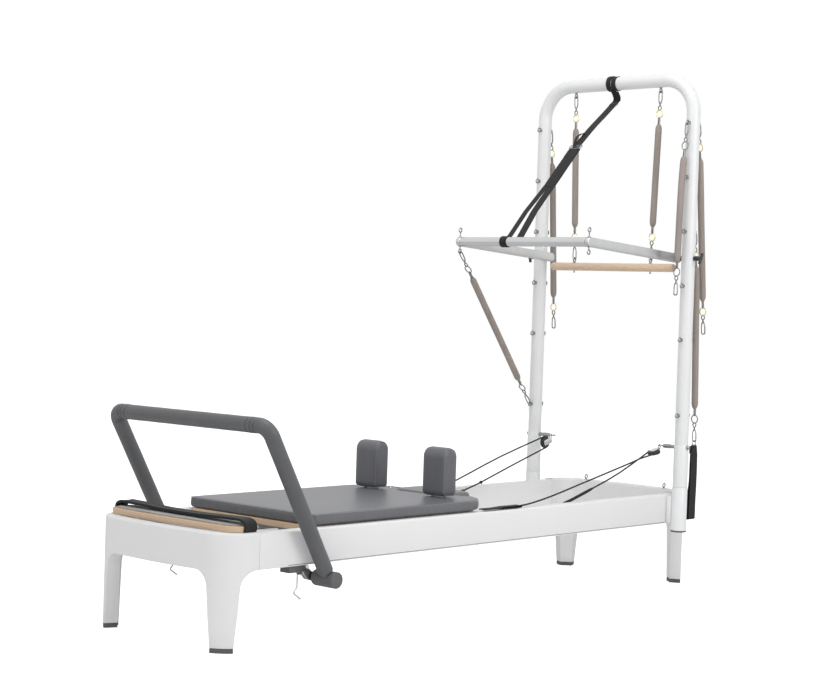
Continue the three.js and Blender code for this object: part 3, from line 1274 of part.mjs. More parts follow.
// Pulleys: a grooved wheel between two cheeks, on a link through the eye of the pulley bolt
const WRAP_STEPS = 7;
const ropeRing = (WHEEL_GROOVE + SEAT_GAP + ROPE_RADIUS) / Math.cos(Math.PI / (2 * WRAP_STEPS));
const eyeY = TOWER_HALF - TUBE_R - PULLEY_BOLT_REACH - PULLEY_EYE;
const linkTop = PULLEY_LEVEL + PULLEY_EYE_WIRE + HOOK_GAP + 2 * SNAP_WIRE;
const linkX = TOWER_X - PULLEY_EYE;
const blockZ = linkTop - LINK_LENGTH + SNAP_WIRE;
function placedBlock(side, dip) {
  const matrix = new THREE.Matrix4().makeRotationY(Math.PI - THREE.MathUtils.degToRad(dip));
  return matrix.setPosition(linkX, side * eyeY, blockZ);
}
function blockGeometry(roll, matrix, side) {
  const inside = SHEAVE_THICK / 2 + RUN_GAP;
  const outside = inside + CHEEK_THICK;
  const front = BLOCK_REACH - ropeRing - ROPE_RADIUS - RUN_GAP;
  const cheeks = [-1, 1].map((way) => {
    const shape = roundedBox(BLOCK_REACH + 12, CHEEK_WIDTH, 9);
    return plate(shape, way * inside, way * outside, 0, 1, 2).translate(front - 6 + (BLOCK_REACH + 12) / 2, 0, 0);
  });
  const crown = block(point(front - 6, -inside - 1, -7), point(front, inside + 1, 7));
  const neck = block(point(-1, -2.5, -2.5), point(front - 3, 2.5, 2.5));
  const pin = rod(point(BLOCK_REACH, -outside - 1, 0), point(BLOCK_REACH, outside + 1, 0), SHEAVE_PIN, 8);
  const body = join(...cheeks, crown, neck, pin).rotateX(roll).applyMatrix4(matrix);
  const link = wireLoop(point(linkX, side * eyeY, linkTop), point(0, 0, -1), point(1, 0, 0),
    LINK_LENGTH, LINK_WIDTH, SNAP_WIRE);
  return join(body, link);
}
function wheelGeometry() {
  const half = SHEAVE_THICK / 2;
  const bore = SHEAVE_PIN + RUN_GAP;
  const profile = [
    [bore, -half], [SHEAVE_RADIUS, -half], [SHEAVE_RADIUS, 1 - half], [WHEEL_GROOVE, -1.5],
    [WHEEL_GROOVE, 1.5], [SHEAVE_RADIUS, half - 1], [SHEAVE_RADIUS, half], [bore, half], [bore, -half],
  ];
  return turned(profile, point(BLOCK_REACH, 0, 0), point(0, 1, 0), 18);
}
const blockPlaces = {
  near: { side: -1, matrix: placedBlock(-1, NEAR_DIP), roll: Math.PI / 2 },
  far: { side: 1, matrix: placedBlock(1, FAR_DIP), roll: 0 },
};
for (const [name, { side, matrix, roll }] of Object.entries(blockPlaces)) {
  part(`pulley_block_${name}`, blockGeometry(roll, matrix, side), chrome);
  part(`pulley_wheel_${name}`, wheelGeometry().rotateX(roll).applyMatrix4(matrix), blackPlastic);
}

// Ropes: from the carriage over each pulley and back to a webbing handle
function wrap({ matrix, roll }, start) {
  const points = [];
  for (let k = 0; k <= WRAP_STEPS; k += 1) {
    const angle = start * (Math.PI / 2 - (Math.PI * k) / WRAP_STEPS);
    const spot = point(BLOCK_REACH - ropeRing * Math.cos(angle), 0, ropeRing * Math.sin(angle));
    points.push(spot.applyMatrix4(new THREE.Matrix4().makeRotationX(roll)).applyMatrix4(matrix));
  }
  return points;
}
function handle(from, to) {
  const along = to.clone().sub(from).normalize();
  const across = point(0, 1, 0).addScaledVector(along, -along.y).normalize();
  const length = from.distanceTo(to);
  const round = HANDLE_THICK / 2;
  const outline = (shape, inset) => {
    shape.absarc(round, 0, round - inset, Math.PI / 2, 1.5 * Math.PI);
    shape.absarc(length - round, 0, round - inset, 1.5 * Math.PI, 2.5 * Math.PI);
    return shape;
  };
  const band = outline(new THREE.Shape(), 0);
  band.holes.push(outline(new THREE.Path(), WEB_THICK - 1));
  const loop = plate(band, -HANDLE_WIDTH / 2, HANDLE_WIDTH / 2);
  return loop.applyMatrix4(new THREE.Matrix4().makeBasis(along, across, along.clone().cross(across)).setPosition(from));
}
// A rope is given as [x, y, z, radius] places, and lies round its wheel between two of them
function rope(before, wheel, after, handleEnd) {
  const around = wrap(wheel, -1).map((place) => [place.x, place.y, place.z, ROPE_RADIUS]);
  const places = [...before, ...around, ...after];
  const cord = laidTube(places.map((place) => point(...place)), places.map((place) => place[3]), 8, point(0, 1, 0));
  const last = point(...after[after.length - 1]);
  const overlap = last.clone().sub(handleEnd).setLength(2 * ROPE_RADIUS);
  return join(cord, handle(last.add(overlap), handleEnd));
}
const thin = ROPE_RADIUS;
const thick = SLEEVE_ROPE;
const nearRest = RAIL_TOP + HANDLE_THICK / 2 + SEAT_GAP;
part('rope_near', rope([
  [ANCHOR_BACK + SEAT_GAP, -228, 284, thin], [ANCHOR_BACK + 10, -228, 284, thin], [240, -228, 297, thin],
  [452, -228, 325, thin], [464, -228, 328, thick], [646, -228, 377, thick], [658, -228, 380, thin], [800, -231, 426, thin],
], blockPlaces.near, [
  [860, -283, 481, thin], [777, -284, 463, thin], [508, -288, 408, thin], [345, -291, 375, thin],
  [240, -291, 357, thin], [160, -291, nearRest, thin],
], point(160 - HANDLE_LENGTH, -291, nearRest)), webbing);

const farRest = TRACK_TOP + HANDLE_THICK / 2 + 1;
part('rope_far', rope([
  [ANCHOR_BACK + SEAT_GAP, 232, 284, thin], [ANCHOR_BACK + 10, 232, 284, thin], [240, 244, 318, thin],
  [448, 254, 371, thin], [700, 257, 448, thin],
], blockPlaces.far, [
  [800, 258, 420, thin], [604, 258, 359, thin], [594, 258, 356, thick + 1], [584, 258, 353, thin],
  [500, 258, 331, thick], [440, 258, 314, thick],
], point(252, 256, farRest)), webbing);

export default model;
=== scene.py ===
import bpy
import bmesh
from math import sin, cos, pi, radians, sqrt, asin, atan2
from mathutils import Vector, Matrix


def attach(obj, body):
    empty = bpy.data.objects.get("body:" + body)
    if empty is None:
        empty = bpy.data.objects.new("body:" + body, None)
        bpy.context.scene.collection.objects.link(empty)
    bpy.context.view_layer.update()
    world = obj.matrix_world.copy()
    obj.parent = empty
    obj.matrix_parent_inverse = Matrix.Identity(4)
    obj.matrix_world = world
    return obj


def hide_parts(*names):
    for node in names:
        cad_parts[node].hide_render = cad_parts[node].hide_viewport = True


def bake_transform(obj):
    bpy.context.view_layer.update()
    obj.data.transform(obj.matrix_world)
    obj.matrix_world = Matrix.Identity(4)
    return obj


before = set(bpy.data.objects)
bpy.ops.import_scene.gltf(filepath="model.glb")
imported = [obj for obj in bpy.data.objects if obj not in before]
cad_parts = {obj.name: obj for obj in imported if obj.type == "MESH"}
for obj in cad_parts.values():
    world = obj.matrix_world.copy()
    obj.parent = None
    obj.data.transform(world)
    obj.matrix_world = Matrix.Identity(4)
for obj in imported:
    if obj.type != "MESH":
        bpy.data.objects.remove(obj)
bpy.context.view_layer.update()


# Camera: the photograph is taken from eye height off the foot end, near side, slightly rolled.
# The place, turn and lens were fitted to the frame's corners and the pitch of the eyebolts.
def mm(x, y, z):
    return Vector((x, y, z)) / 1000


def placed(name, data):
    """A new object in the scene."""
    made = bpy.data.objects.new(name, data)
    scene.collection.objects.link(made)
    return made


scene = bpy.context.scene
yaw, pitch, roll = radians(43.1007), radians(1.5589), radians(1.8884)
ahead = Vector((cos(yaw) * cos(pitch), sin(yaw) * cos(pitch), -sin(pitch)))
level = Vector((sin(yaw), -cos(yaw), 0))
upright = level.cross(ahead)
right = level * cos(roll) + upright * sin(roll)
above = upright * cos(roll) - level * sin(roll)
camera = placed("camera", bpy.data.cameras.new("camera"))
eye, turn = Matrix.Translation(mm(-4586, -4184, 1029)), Matrix((right, above, -ahead)).transposed()
camera.matrix_world = eye @ turn.to_4x4()
camera.data.lens = 80.52
scene.camera = camera
scene.view_settings.view_transform = "Standard"


# Ropes: braided polyester cord from the carriage over each pulley, with a stitched webbing
# sleeve on part of it and a webbing handle. The near handle lies on the rail, the far one inside.
forward, sideways, up, down = [Vector(way) for way in ((1, 0, 0), (0, 1, 0), (0, 0, 1), (0, 0, -1))]
two_sides = (("near", -1), ("far", 1))


def swept(start, turn, steps):
    """Even angles from start through a turn, both ends included."""
    return [start + turn * k / steps for k in range(steps + 1)]


def full_turn(steps):
    return swept(0, 2 * pi, steps)[:-1]


def beside(route, i, closed=False):
    """The points before and after one on a route; at an open end, the end itself."""
    if closed:
        return route[i - 1], route[(i + 1) % len(route)]
    return route[max(i - 1, 0)], route[min(i + 1, len(route) - 1)]


def run_lengths(route, closed=False):
    """The length run at each point of a route, and at its return to the first if it is closed."""
    run = [0.0]
    for a, b in zip(route, route[1:] + route[:1] if closed else route[1:]):
        run.append(run[-1] + (b - a).length)
    return run


def smooth_route(points, steps=4):
    """A soft line through points, closer together than they are."""
    ways = []
    for i, here in enumerate(points):
        before, after = beside(points, i)
        reach = min([(q - here).length for q in (before, after) if q != here])
        ways.append((after - before).normalized() * reach)
    route = []
    for a, b, wa, wb in zip(points, points[1:], ways, ways[1:]):
        for t in [k / steps for k in range(steps)]:
            route.append(a * (2 * t**3 - 3 * t**2 + 1) + b * (3 * t**2 - 2 * t**3)
                         + wa * (t**3 - 2 * t**2 + t) + wb * (t**3 - t**2))
    return route + [points[-1]]


def skin(bm, route, columns, closed, girth):
    """A flat grid for a skin along a route, its UV in metres, with the row and share over of each vertex."""
    count = len(route)
    rows = count if closed else count - 1
    lengths, cloth = run_lengths(route, closed), bm.loops.layers.uv.verify()
    made = bmesh.ops.create_grid(bm, x_segments=rows, y_segments=columns, size=0.5, calc_uvs=True)["verts"]
    for loop in [loop for face in {f for v in made for f in v.link_faces} for loop in face.loops]:
        along, over = loop[cloth].uv
        row = round(along * rows)
        loop[cloth].uv = (lengths[row], over * girth[row % count])
    return made, [(v, round((v.co.x + 0.5) * rows) % count, v.co.y) for v in made]


def tube(bm, route, radii, sides=12, closed=False, across=sideways):
    """Rolls a grid into a tube along a route, with a radius at each place, capped if it is open."""
    radii = [radii] * len(route) if isinstance(radii, (int, float)) else radii
    normal, frames = across.copy(), []
    for i, here in enumerate(route):
        before, after = beside(route, i, closed)
        tangent = ((after - here).normalized() + (here - before).normalized()).normalized()
        if i == 0 and abs(tangent.dot(normal)) > 0.95:
            normal = tangent.orthogonal()
        normal = (normal - tangent * normal.dot(tangent)).normalized()
        frames.append((here, normal, tangent.cross(normal)))
    made, places = skin(bm, route, sides, closed, [2 * pi * max(r, 1e-4) for r in radii])
    for vert, row, over in places:
        here, side, lift = frames[row]
        angle = 2 * pi * (over + 0.5)
        vert.co = here + (side * cos(angle) + lift * sin(angle)) * radii[row]
    bmesh.ops.remove_doubles(bm, verts=made, dist=1e-6)
    if not closed:
        ends = {e for v in made if v.is_valid for e in v.link_edges if e.is_boundary}
        bmesh.ops.holes_fill(bm, edges=list(ends), sides=0)
    return bm


def strap(bm, route, widths, thick, across=sideways, closed=False, crown=0.0):
    """Webbing: a grid laid flat along a route, given its thickness."""
    widths = [widths] * len(route) if isinstance(widths, (int, float)) else widths
    made, places = skin(bm, route, 6, closed, [widths[0]] * len(route))
    for vert, row, over in places:
        before, after = beside(route, row, closed)
        along = (after - before).normalized()
        side = (across - along * across.dot(along)).normalized()
        arch = side.cross(along) * crown * (1 - (2 * over) ** 2)
        vert.co = route[row] + side * over * widths[row] + arch
    bmesh.ops.remove_doubles(bm, verts=made, dist=1e-6)
    faces = list({f for v in made if v.is_valid for f in v.link_faces})
    bmesh.ops.recalc_face_normals(bm, faces=faces)
    bmesh.ops.solidify(bm, geom=faces, thickness=thick)
    return bm


def piece(name, bm, material, body, slot, *nodes, soft=35):
    """A finished piece from a mesh in place, on one body; given a tuple (a, b, start, end) instead, it stays in place
    on no body.
    """
    bmesh.ops.recalc_face_normals(bm, faces=bm.faces)
    mesh = bpy.data.meshes.new(name)
    bm.to_mesh(mesh)
    bm.free()
    mesh.polygons.foreach_set("use_smooth", [True] * len(mesh.polygons))
    mesh.set_sharp_from_angle(angle=radians(soft))
    mesh.materials.append(material)
    made = placed(name, mesh)
    if isinstance(body, str):
        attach(made, body)
    else:
        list(body)
        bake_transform(made)
    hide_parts(*nodes)
    return made


def put(node, **values):
    """Sets a shader node's inputs by name, with an underscore for a space."""
    for name, value in values.items():
        node.inputs[name.replace("_", " ")].default_value = value
    return node


def workbench(owner):
    """An owner's shader nodes, a function that adds one, and one that joins an output to an input."""
    owner.use_nodes = True
    nodes, new_link = owner.node_tree.nodes, owner.node_tree.links.new
    return (nodes, lambda kind, **values: put(nodes.new("ShaderNode" + kind), **values),
            lambda source, output, node, socket: new_link(source.outputs[output], node.inputs[socket]))


def finish(name, colour, rough, mottle, grain, metal=0.0, stretch=(1, 1, 1), sheen=0.1, spots=None):
    """Drifting colour (scale, depth), gloss that varies by sheen, fine grain (scale, strength) or spots."""
    material = bpy.data.materials.new(name)
    nodes, add, join = workbench(material)
    shader = put(nodes["Principled BSDF"], Metallic=metal)
    turn, tone = add("Mapping", Scale=stretch), add("ValToRGB")
    join(add("TexCoord"), "Object", turn, "Vector")
    drift, fine = add("TexNoise", Scale=mottle[0], Detail=4), add("TexNoise", Scale=grain[0], Detail=4)
    for noise in (drift, fine):
        join(turn, "Vector", noise, "Vector")
    for stop, place, way in zip(tone.color_ramp.elements, (0.3, 0.7), (-1, 1)):
        stop.position = place
        stop.color = [c * (1 + way * mottle[1]) for c in colour] + [1]
    join(drift, "Fac", tone, "Fac")
    join(tone, "Color", shader, "Base Color")
    gloss = add("MapRange", To_Min=rough - sheen, To_Max=rough + sheen)
    join(fine, "Fac", gloss, "Value")
    join(gloss, "Result", shader, "Roughness")
    relief = add("Bump", Strength=grain[1], Distance=0.0005)
    if spots:
        pebble = add("TexVoronoi", Scale=spots)
        join(turn, "Vector", pebble, "Vector")
        join(pebble, "Distance", relief, "Height")
    else:
        join(fine, "Fac", relief, "Height")
    join(relief, "Normal", shader, "Normal")
    return material


def darkened(material, source, output, depth):
    """A material with its drifting colour multiplied by a pattern."""
    nodes, add, join = workbench(material)
    over = add("Mix")
    over.data_type, over.blend_type = "RGBA", "MULTIPLY"
    put(over, Factor=depth)
    join(nodes["Color Ramp"], "Color", over, "A")
    join(source, output, over, "B")
    join(over, "Result", nodes["Principled BSDF"], "Base Color")
    return material


def woven(name, colour, rough, thread, depth, lift=0.35):
    """A woven or braided material: threads cross over each other on the piece's own UV, in metres."""
    material = finish(name, colour, rough, (30, 0.12), (1500, 0.1))
    nodes, add, join = workbench(material)
    put(nodes["Principled BSDF"], Sheen_Weight=0.05)
    cross = add("Math")
    cross.operation = "MAXIMUM"
    for socket, slant in enumerate((0.7, -0.7)):
        turn = add("Mapping", Rotation=(0, 0, slant))
        wave = add("TexWave", Scale=bands_per_metre / thread, Distortion=0.3)
        join(add("UVMap"), "UV", turn, "Vector")
        join(turn, "Vector", wave, "Vector")
        join(wave, "Fac", cross, socket)
    join(cross, "Value", put(nodes["Bump"], Strength=lift), "Height")
    return darkened(material, cross, "Value", depth)


def pulley_place(name):
    """A hanging pulley's own frame: X from its hook to its pin, Y along the pin."""
    side, turned_over, dip = pulleys[name]
    hook = Matrix.Translation(mm(pulley_x, side * pulley_y, 504.4))
    return hook @ Matrix.Rotation(radians(180 - dip), 4, "Y") @ Matrix.Rotation(turned_over, 4, "X")


def part_way(route, start, stop, count=12):
    """Places at even steps between two X levels of a route that runs one way along X."""
    places = []
    for x in [start + (stop - start) * k / (count - 1) for k in range(count)]:
        for a, b in zip(route, route[1:]):
            if min(a.x, b.x) <= x <= max(a.x, b.x) and a.x != b.x:
                places.append(a.lerp(b, (x - a.x) / (b.x - a.x)))
                break
    return places


def handle(name, body, start, finish_at):
    """A webbing loop, flattened: two plies, apart at the rope's end and together at the other."""
    along = (finish_at - start).normalized()
    across = (sideways - along * along.y).normalized()
    lift = along.cross(across)
    half, tip, inset = 0.0039, 0.0018, 0.002
    run = (finish_at - start).length - 2 * inset - half - tip
    upper, lower, round_end = [], [], (0.8, 1.6, 2.4)
    for k in range(21):
        place = start + along * (half + inset + run * k / 20)
        gap = lift * (half + (tip - half) * min(1, max(0, (k - 9) / 5)))
        upper.append(place + gap)
        lower.insert(0, place - gap)
    route = upper + [finish_at - along * (tip + inset) + (lift * cos(a) + along * sin(a)) * tip for a in round_end]
    route += lower + [start + along * (half + inset) - (lift * cos(a) + along * sin(a)) * half for a in round_end]
    bm = strap(bmesh.new(), route, 0.025, 0.0016, closed=True)
    return piece(name, bm, webbing_black, body, "webbing", soft=50)


bands_per_metre = 0.314  # wave texture scale for one band a metre
rope_black = woven("braided rope", (0.022, 0.022, 0.024), 0.8, 0.0011, 0.7)
webbing_black = woven("black webbing", (0.0075, 0.0075, 0.008), 0.85, 0.0012, 0.5, 0.12)
rope_r, sleeve_r = 0.003, 0.0054
pulley_x, pulley_y, groove_r, pin = 1004.5, 258.1, 22.6, 36
pulleys = {"near": (-1, pi / 2, 13), "far": (1, 0, 16)}
ropes = {  # out to the pulley, back from it, the handle's ends, where the carriage's pull fades, the sleeve
    "near": (
        [(41.3, -228, 284), (51, -228, 284), (240, -228, 297), (452, -228, 325), (646, -228, 377), (800, -231, 426)],
        [(860, -283, 481), (777, -284, 463), (508, -288, 408), (345, -291, 375), (240, -291, 357), (160, -291, 348.8),
         (72, -291, 348.6)],
        (160, -291, 348.7), (-40, -291, 348.6), (0.17, 0.95), (0.464, 0.646)),
    "far": (
        [(41.3, 232, 284), (51, 232, 284), (240, 244, 318), (448, 254, 371), (700, 257, 448)],
        [(800, 258, 420), (604, 258, 359), (584, 258, 353), (500, 258, 331), (440, 258, 314), (358, 257.1, 287.6)],
        (440, 258, 314), (252, 256, 253.4), (-0.107, 0.987), (0.5, 0.441)),
}
for side_name, (going, coming, grip_start, grip_end, loose, covered) in ropes.items():
    groove = [pulley_place(side_name) @ mm(pin - groove_r * cos(a), 0, groove_r * sin(a))
              for a in [radians(15 * k - 90) for k in range(13)]]
    route = smooth_route([mm(*p) for p in going] + groove + [mm(*p) for p in coming], 3)
    bends = ("carriage", "base", (loose[0], 0, 0), (loose[1], 0, 0))
    node = f"rope_{side_name}"
    cord = piece(f"{node}_cord", tube(bmesh.new(), route, rope_r, sides=14), rope_black, bends, "rope", node)
    on_rope = [handle(f"{node}_handle", bends, mm(*grip_start), mm(*grip_end))]
    half_way = len(route) // 2
    sleeved = part_way(route[:half_way] if side_name == "near" else route[half_way:], *covered)
    if side_name == "far":
        tied, lean, knot_r = mm(594, 258, 356), Matrix.Rotation(0.29, 3, "Y"), 0.0027
        knot = [tied + lean @ mm(3.4 * cos(a) - 1, 4.2 * sin(2 * a), 3.6 * sin(a)) for a in full_turn(28)]
        bm = tube(bmesh.new(), knot, knot_r, sides=10, closed=True)
        on_rope.append(piece("rope_far_knot", bm, rope_black, bends, "rope", "rope_far"))
    ends = [sleeve_r * 0.6, sleeve_r * 0.95]
    bm = tube(bmesh.new(), sleeved, ends + [sleeve_r] * (len(sleeved) - 4) + ends[::-1], sides=16)
    on_rope.append(piece(f"{node}_sleeve", bm, webbing_black, bends, "webbing", node))
    tuple(route[0])
    [tuple(p) for p in route]


# End frames: each end is one moulding, a wall bent round the bed's end with its two legs in one
# sweep, painted white. Cast in one piece and bolted to the rails.
bow, corner, bed_half, rail_out, rail_half = 1672, 112, 1187, 312, 1040
corner_y = rail_out - corner
corner_x = bed_half - bow + sqrt((bow - corner) ** 2 - corner_y ** 2)
bow_angle = asin(corner_y / (bow - corner))
side_run = corner_x - rail_half
leg_place = side_run + corner * radians(48)
half_line = side_run + corner * (pi / 2 - bow_angle) + bow * bow_angle
frame_top, wall_low, root_low, tip_low = 346, 236, 185, 14
tip_half, root_half, sweep_out, sweep_in = 36.5, 52, 60, 46


def plan_at(distance):
    """Place and outward direction on the end's outer face, from the near rail round to the far one."""
    mirrored = distance > half_line
    run = 2 * half_line - distance if mirrored else distance
    x, y, angle = rail_half + run, -rail_out, -pi / 2
    if run > side_run:
        angle += min((run - side_run) / corner, pi / 2 - bow_angle)
        x, y = corner_x + corner * cos(angle), -corner_y + corner * sin(angle)
    beyond = run - side_run - corner * (pi / 2 - bow_angle)
    if beyond > 0:
        angle = -bow_angle + beyond / bow
        x, y = bed_half - bow + bow * cos(angle), bow * sin(angle)
    flip = -1 if mirrored else 1
    return mm(x, flip * y, 0), Vector((cos(angle), flip * sin(angle), 0))


def underside(distance):
    """Level of the wall's lower edge: straight, swept down into a leg with a tapering shank."""
    run = min(distance, 2 * half_line - distance) - leg_place
    side, sweep = (-run, sweep_out) if run < 0 else (run, sweep_in)
    if side >= root_half + sweep:
        return wall_low
    if side > root_half:
        return root_low + (wall_low - root_low) * sqrt(max(0, 1 - (1 - (side - root_half) / sweep) ** 2))
    return tip_low + (root_low - tip_low) * max(0, side - tip_half) / (root_half - tip_half)


def soften(bm, offset, segments=3, least=radians(60), levels=(-9, 9), clamp=True, edges=None):
    """Rounds off the given edges, or those between two levels where faces turn by more than an angle."""
    if edges is None:
        edges = [e for e in bm.edges if e.is_manifold and e.calc_face_angle(0) > least
                 and all(levels[0] < v.co.z < levels[1] for v in e.verts)]
    bmesh.ops.bevel(bm, geom=edges, offset=offset, offset_type="OFFSET", segments=segments, profile=0.5,
                    affect="EDGES", clamp_overlap=clamp, material=-1)
    return bm


def end_wall():
    """The wall and its legs: a grid drawn down to the lower edge's level, thickened inwards."""
    eased = [1 - cos(a) for a in swept(0, pi / 2, 10)]
    offsets = [-root_half - sweep_out * e for e in eased] + [root_half + sweep_in * e for e in eased]
    offsets += [-tip_half, -24, -12, 0, 12, 24, tip_half]
    first = leg_place + root_half + sweep_in
    last = 2 * half_line - first
    stations = [0, side_run * 0.5] + [first + (last - first) * k / 24 for k in range(1, 24)]
    stations += [2 * half_line - side_run * 0.5, 2 * half_line]
    stations += [leg_place + t for t in offsets] + [2 * half_line - leg_place - t for t in offsets]
    stations = sorted({round(s, 3) for s in stations if 0 <= s <= 2 * half_line})
    bm = bmesh.new()
    station = bm.verts.layers.float.new("station")
    bmesh.ops.create_grid(bm, x_segments=len(stations) - 1, y_segments=8, size=0.5)
    for vert in bm.verts:
        distance = stations[round((vert.co.x + 0.5) * (len(stations) - 1))]
        low = underside(distance)
        vert[station] = distance
        vert.co = plan_at(distance)[0] + mm(0, 0, low + (frame_top - low) * (vert.co.y + 0.5))
    inner = bmesh.ops.extrude_face_region(bm, geom=bm.faces[:], use_keep_orig=True)["geom"]
    for vert in [v for v in inner if isinstance(v, bmesh.types.BMVert)]:
        vert.co -= plan_at(vert[station])[1] * 0.044
    bmesh.ops.recalc_face_normals(bm, faces=bm.faces)
    soften(bm, 0.007, 4, 0.9, (0.3459, 9), clamp=False)
    return soften(bm, 0.0022, 2, 0.9, (-9, 0.33), clamp=False)


def raised(outline, lift):
    """A closed outline of points filled and drawn out along lift."""
    bm = bmesh.new()
    face = bmesh.ops.contextual_create(bm, geom=[bm.verts.new(p) for p in outline])["faces"]
    moved = bmesh.ops.extrude_face_region(bm, geom=face, use_keep_orig=True)["geom"]
    bmesh.ops.translate(bm, vec=lift, verts=[v for v in moved if isinstance(v, bmesh.types.BMVert)])
    bmesh.ops.recalc_face_normals(bm, faces=bm.faces)
    return bm


def screw_eye(bm, seat, out, reach=12):
    """A screw eye: a washer, a shank and a ring of one wire, its middle at a reach from the seat."""
    ring, wire, washer = 0.0075, 0.0025, 0.007
    steps = [seat + out * s for s in (0, 0.0012, 0.0013, 0.0026)]
    tube(bm, steps, [washer, washer, washer * 0.8, washer / 1.5])
    tube(bm, [seat - out * 0.002, seat + out * (reach / 1000 - ring)], wire, sides=10)
    centre, side = seat + out * reach / 1000, out.cross(sideways)
    circle = [centre + (side * sin(a) - out * cos(a)) * ring for a in full_turn(24)]
    tube(bm, circle, wire, sides=8, closed=True)


def turn_round(bm, angle):
    bmesh.ops.rotate(bm, cent=(0, 0, 0), matrix=Matrix.Rotation(angle, 3, "Z"), verts=bm.verts)
    return bm


def steel(name, bm, body, node):
    return piece(name, bm, bright_steel, body, "chrome_wire", node)


white_moulding = finish("white moulding", (0.80, 0.80, 0.805), 0.42, (4, 0.012), (700, 0.06), sheen=0.05)
bright_steel = finish("bright steel", (0.33, 0.335, 0.345), 0.28, (60, 0.12), (1800, 0.05), 1.0, sheen=0.08)
for end, angle in (("head", 0), ("foot", pi)):
    bm = turn_round(end_wall(), angle)
    piece(f"{end}_end_moulding", bm, white_moulding, "base", "frame_moulding", f"{end}_end_frame", soft=32)
bm = bmesh.new()
for side in (-1, 1):
    screw_eye(bm, mm(1147, side * 186, frame_top), up)
steel("head_end_eyes", bm, "base", "head_end_frame")


# Foot pads: dark moulded rubber blocks pressed into the tip of each leg, a little inside its edge.
# They carry the whole unit and keep it from sliding.
rubber = finish("foot rubber", (0.105, 0.105, 0.107), 0.75, (40, 0.1), (1200, 0.25))
foot_long, foot_wide, foot_high, foot_in = 71, 42, 13.6, 22
for end, angle in (("head", 0), ("foot", pi)):
    for name, centre in (("near", leg_place), ("far", 2 * half_line - leg_place)):
        bm = bmesh.new()
        bmesh.ops.create_cube(bm, size=1)
        bmesh.ops.subdivide_edges(bm, edges=bm.edges, cuts=7, use_grid_fill=True)
        soften(bm, 0.012, 2, 1, clamp=False)
        for vert in bm.verts:
            place, out = plan_at(centre + vert.co.x * foot_long)
            inward, height = foot_in + vert.co.y * foot_wide, (vert.co.z + 0.5) * foot_high
            vert.co = place - out * inward / 1000 + up * height / 1000
        where = name if end == "head" else {"near": "far", "far": "near"}[name]
        piece(f"{end}_{where}_foot", turn_round(bm, angle), rubber, "base", "foot_rubber", f"foot_pad_{end}_{where}")


# Rails: hollow aluminium extrusions with a soft outer edge, an inward flange for the wheels and a
# T-slot, powder coated white and pushed into the end frames. A thin dark strip runs along the lower edge.
def dressed(node, material, body, slot, round_off=0.0008, soft=32):
    """A copy of a CAD piece: its faces joined up, its edges broken, shaded smooth."""
    bm = bmesh.new()
    bm.from_mesh(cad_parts[node].data)
    bmesh.ops.remove_doubles(bm, verts=bm.verts, dist=1e-5)
    bmesh.ops.dissolve_limit(bm, angle_limit=0.02, verts=bm.verts, edges=bm.edges)
    soften(bm, round_off, 2, radians(38))
    return piece(node + "_finished", bm, material, body, slot, node, soft=soft)


def boxed(bm, low, high, edge=0.001):
    """A block between two corners in millimetres, with its edges broken."""
    low, high = mm(*low), mm(*high)
    made = bmesh.ops.create_cube(bm, size=1)["verts"]
    bmesh.ops.scale(bm, vec=high - low, verts=made)
    bmesh.ops.translate(bm, vec=(low + high) / 2, verts=made)
    return soften(bm, edge, 2, edges=list({e for v in made for e in v.link_edges}))


white_rail = finish("white powder coat", (0.82, 0.82, 0.825), 0.36, (3, 0.01), (1400, 0.08), sheen=0.05)
for side, low, high in (("near", -312.35, -311.7), ("far", 311.7, 312.35)):
    dressed(f"rail_{side}", white_rail, "base", "rail_white", 0.0012)
    # A thin strip in the dark rubber finish along the outer face's lower edge, darker than the white rail.
    bm = boxed(bmesh.new(), (-925, low, 239.6), (978, high, 241.2), 0.0001)
    piece(f"rail_{side}_lower_dark_strip", bm, rubber, "base", "foot_rubber", f"rail_{side}")


# Tower sockets: a steel sleeve welded to a bracket on the outside of each rail, with a dark
# rubber plug in its foot. The tower's post drops into it.
def turned(bm, start, axis, profile, sides=40, across=forward):
    """A turned form from (radius, distance) stations in millimetres along an axis."""
    route = [start + axis * (s / 1000) for _, s in profile]
    return tube(bm, route, [r / 1000 for r, _ in profile], sides, across=across)


white_tube = finish("white tube paint", (0.80, 0.805, 0.81), 0.3, (5, 0.012), (1300, 0.05), sheen=0.05)
tower_x, post_y, tube_r = 1015, 349, 25.4
for name, side in two_sides:
    foot = mm(tower_x, side * post_y, 0)
    bm = turned(bmesh.new(), foot, up, [(26.5, 207), (28.5, 209), (28.5, 370.5), (27.6, 371.9), (25.9, 372)], 48)
    low, high = sorted((side * 312.3, side * 330))
    boxed(bm, (tower_x - 32, low, 240), (tower_x + 32, high, 338), 0.003)
    piece(f"tower_socket_{name}_sleeve", bm, white_tube, "base", "tower_white", f"tower_socket_{name}")
    bm = turned(bmesh.new(), foot, up, [(24, 206.9), (28.6, 207.4), (28.7, 211), (28.5, 213.4), (26, 213.6)], 48)
    piece(f"tower_socket_{name}_plug", bm, rubber, "base", "foot_rubber", f"tower_socket_{name}")


# Tower: one length of 50.8 mm steel tube bent twice into an upside-down U, painted white, with
# a thicker collar above each socket and drilled for the eyebolts.
def bent(corners, radius, steps):
    """Places along straight runs joined by round bends at the corners."""
    route = [corners[0]]
    for before, here, after in zip(corners, corners[1:], corners[2:]):
        back, on = (before - here).normalized(), (after - here).normalized()
        half = back.angle(on) / 2
        centre = here + (back + on).normalized() * radius / sin(half)
        spoke = here + back * radius / (sin(half) / cos(half)) - centre
        axis = back.cross(on).normalized()
        route += [centre + Matrix.Rotation(a, 3, axis) @ spoke for a in swept(0, 2 * half - pi, steps)]
    return route + [corners[-1]]


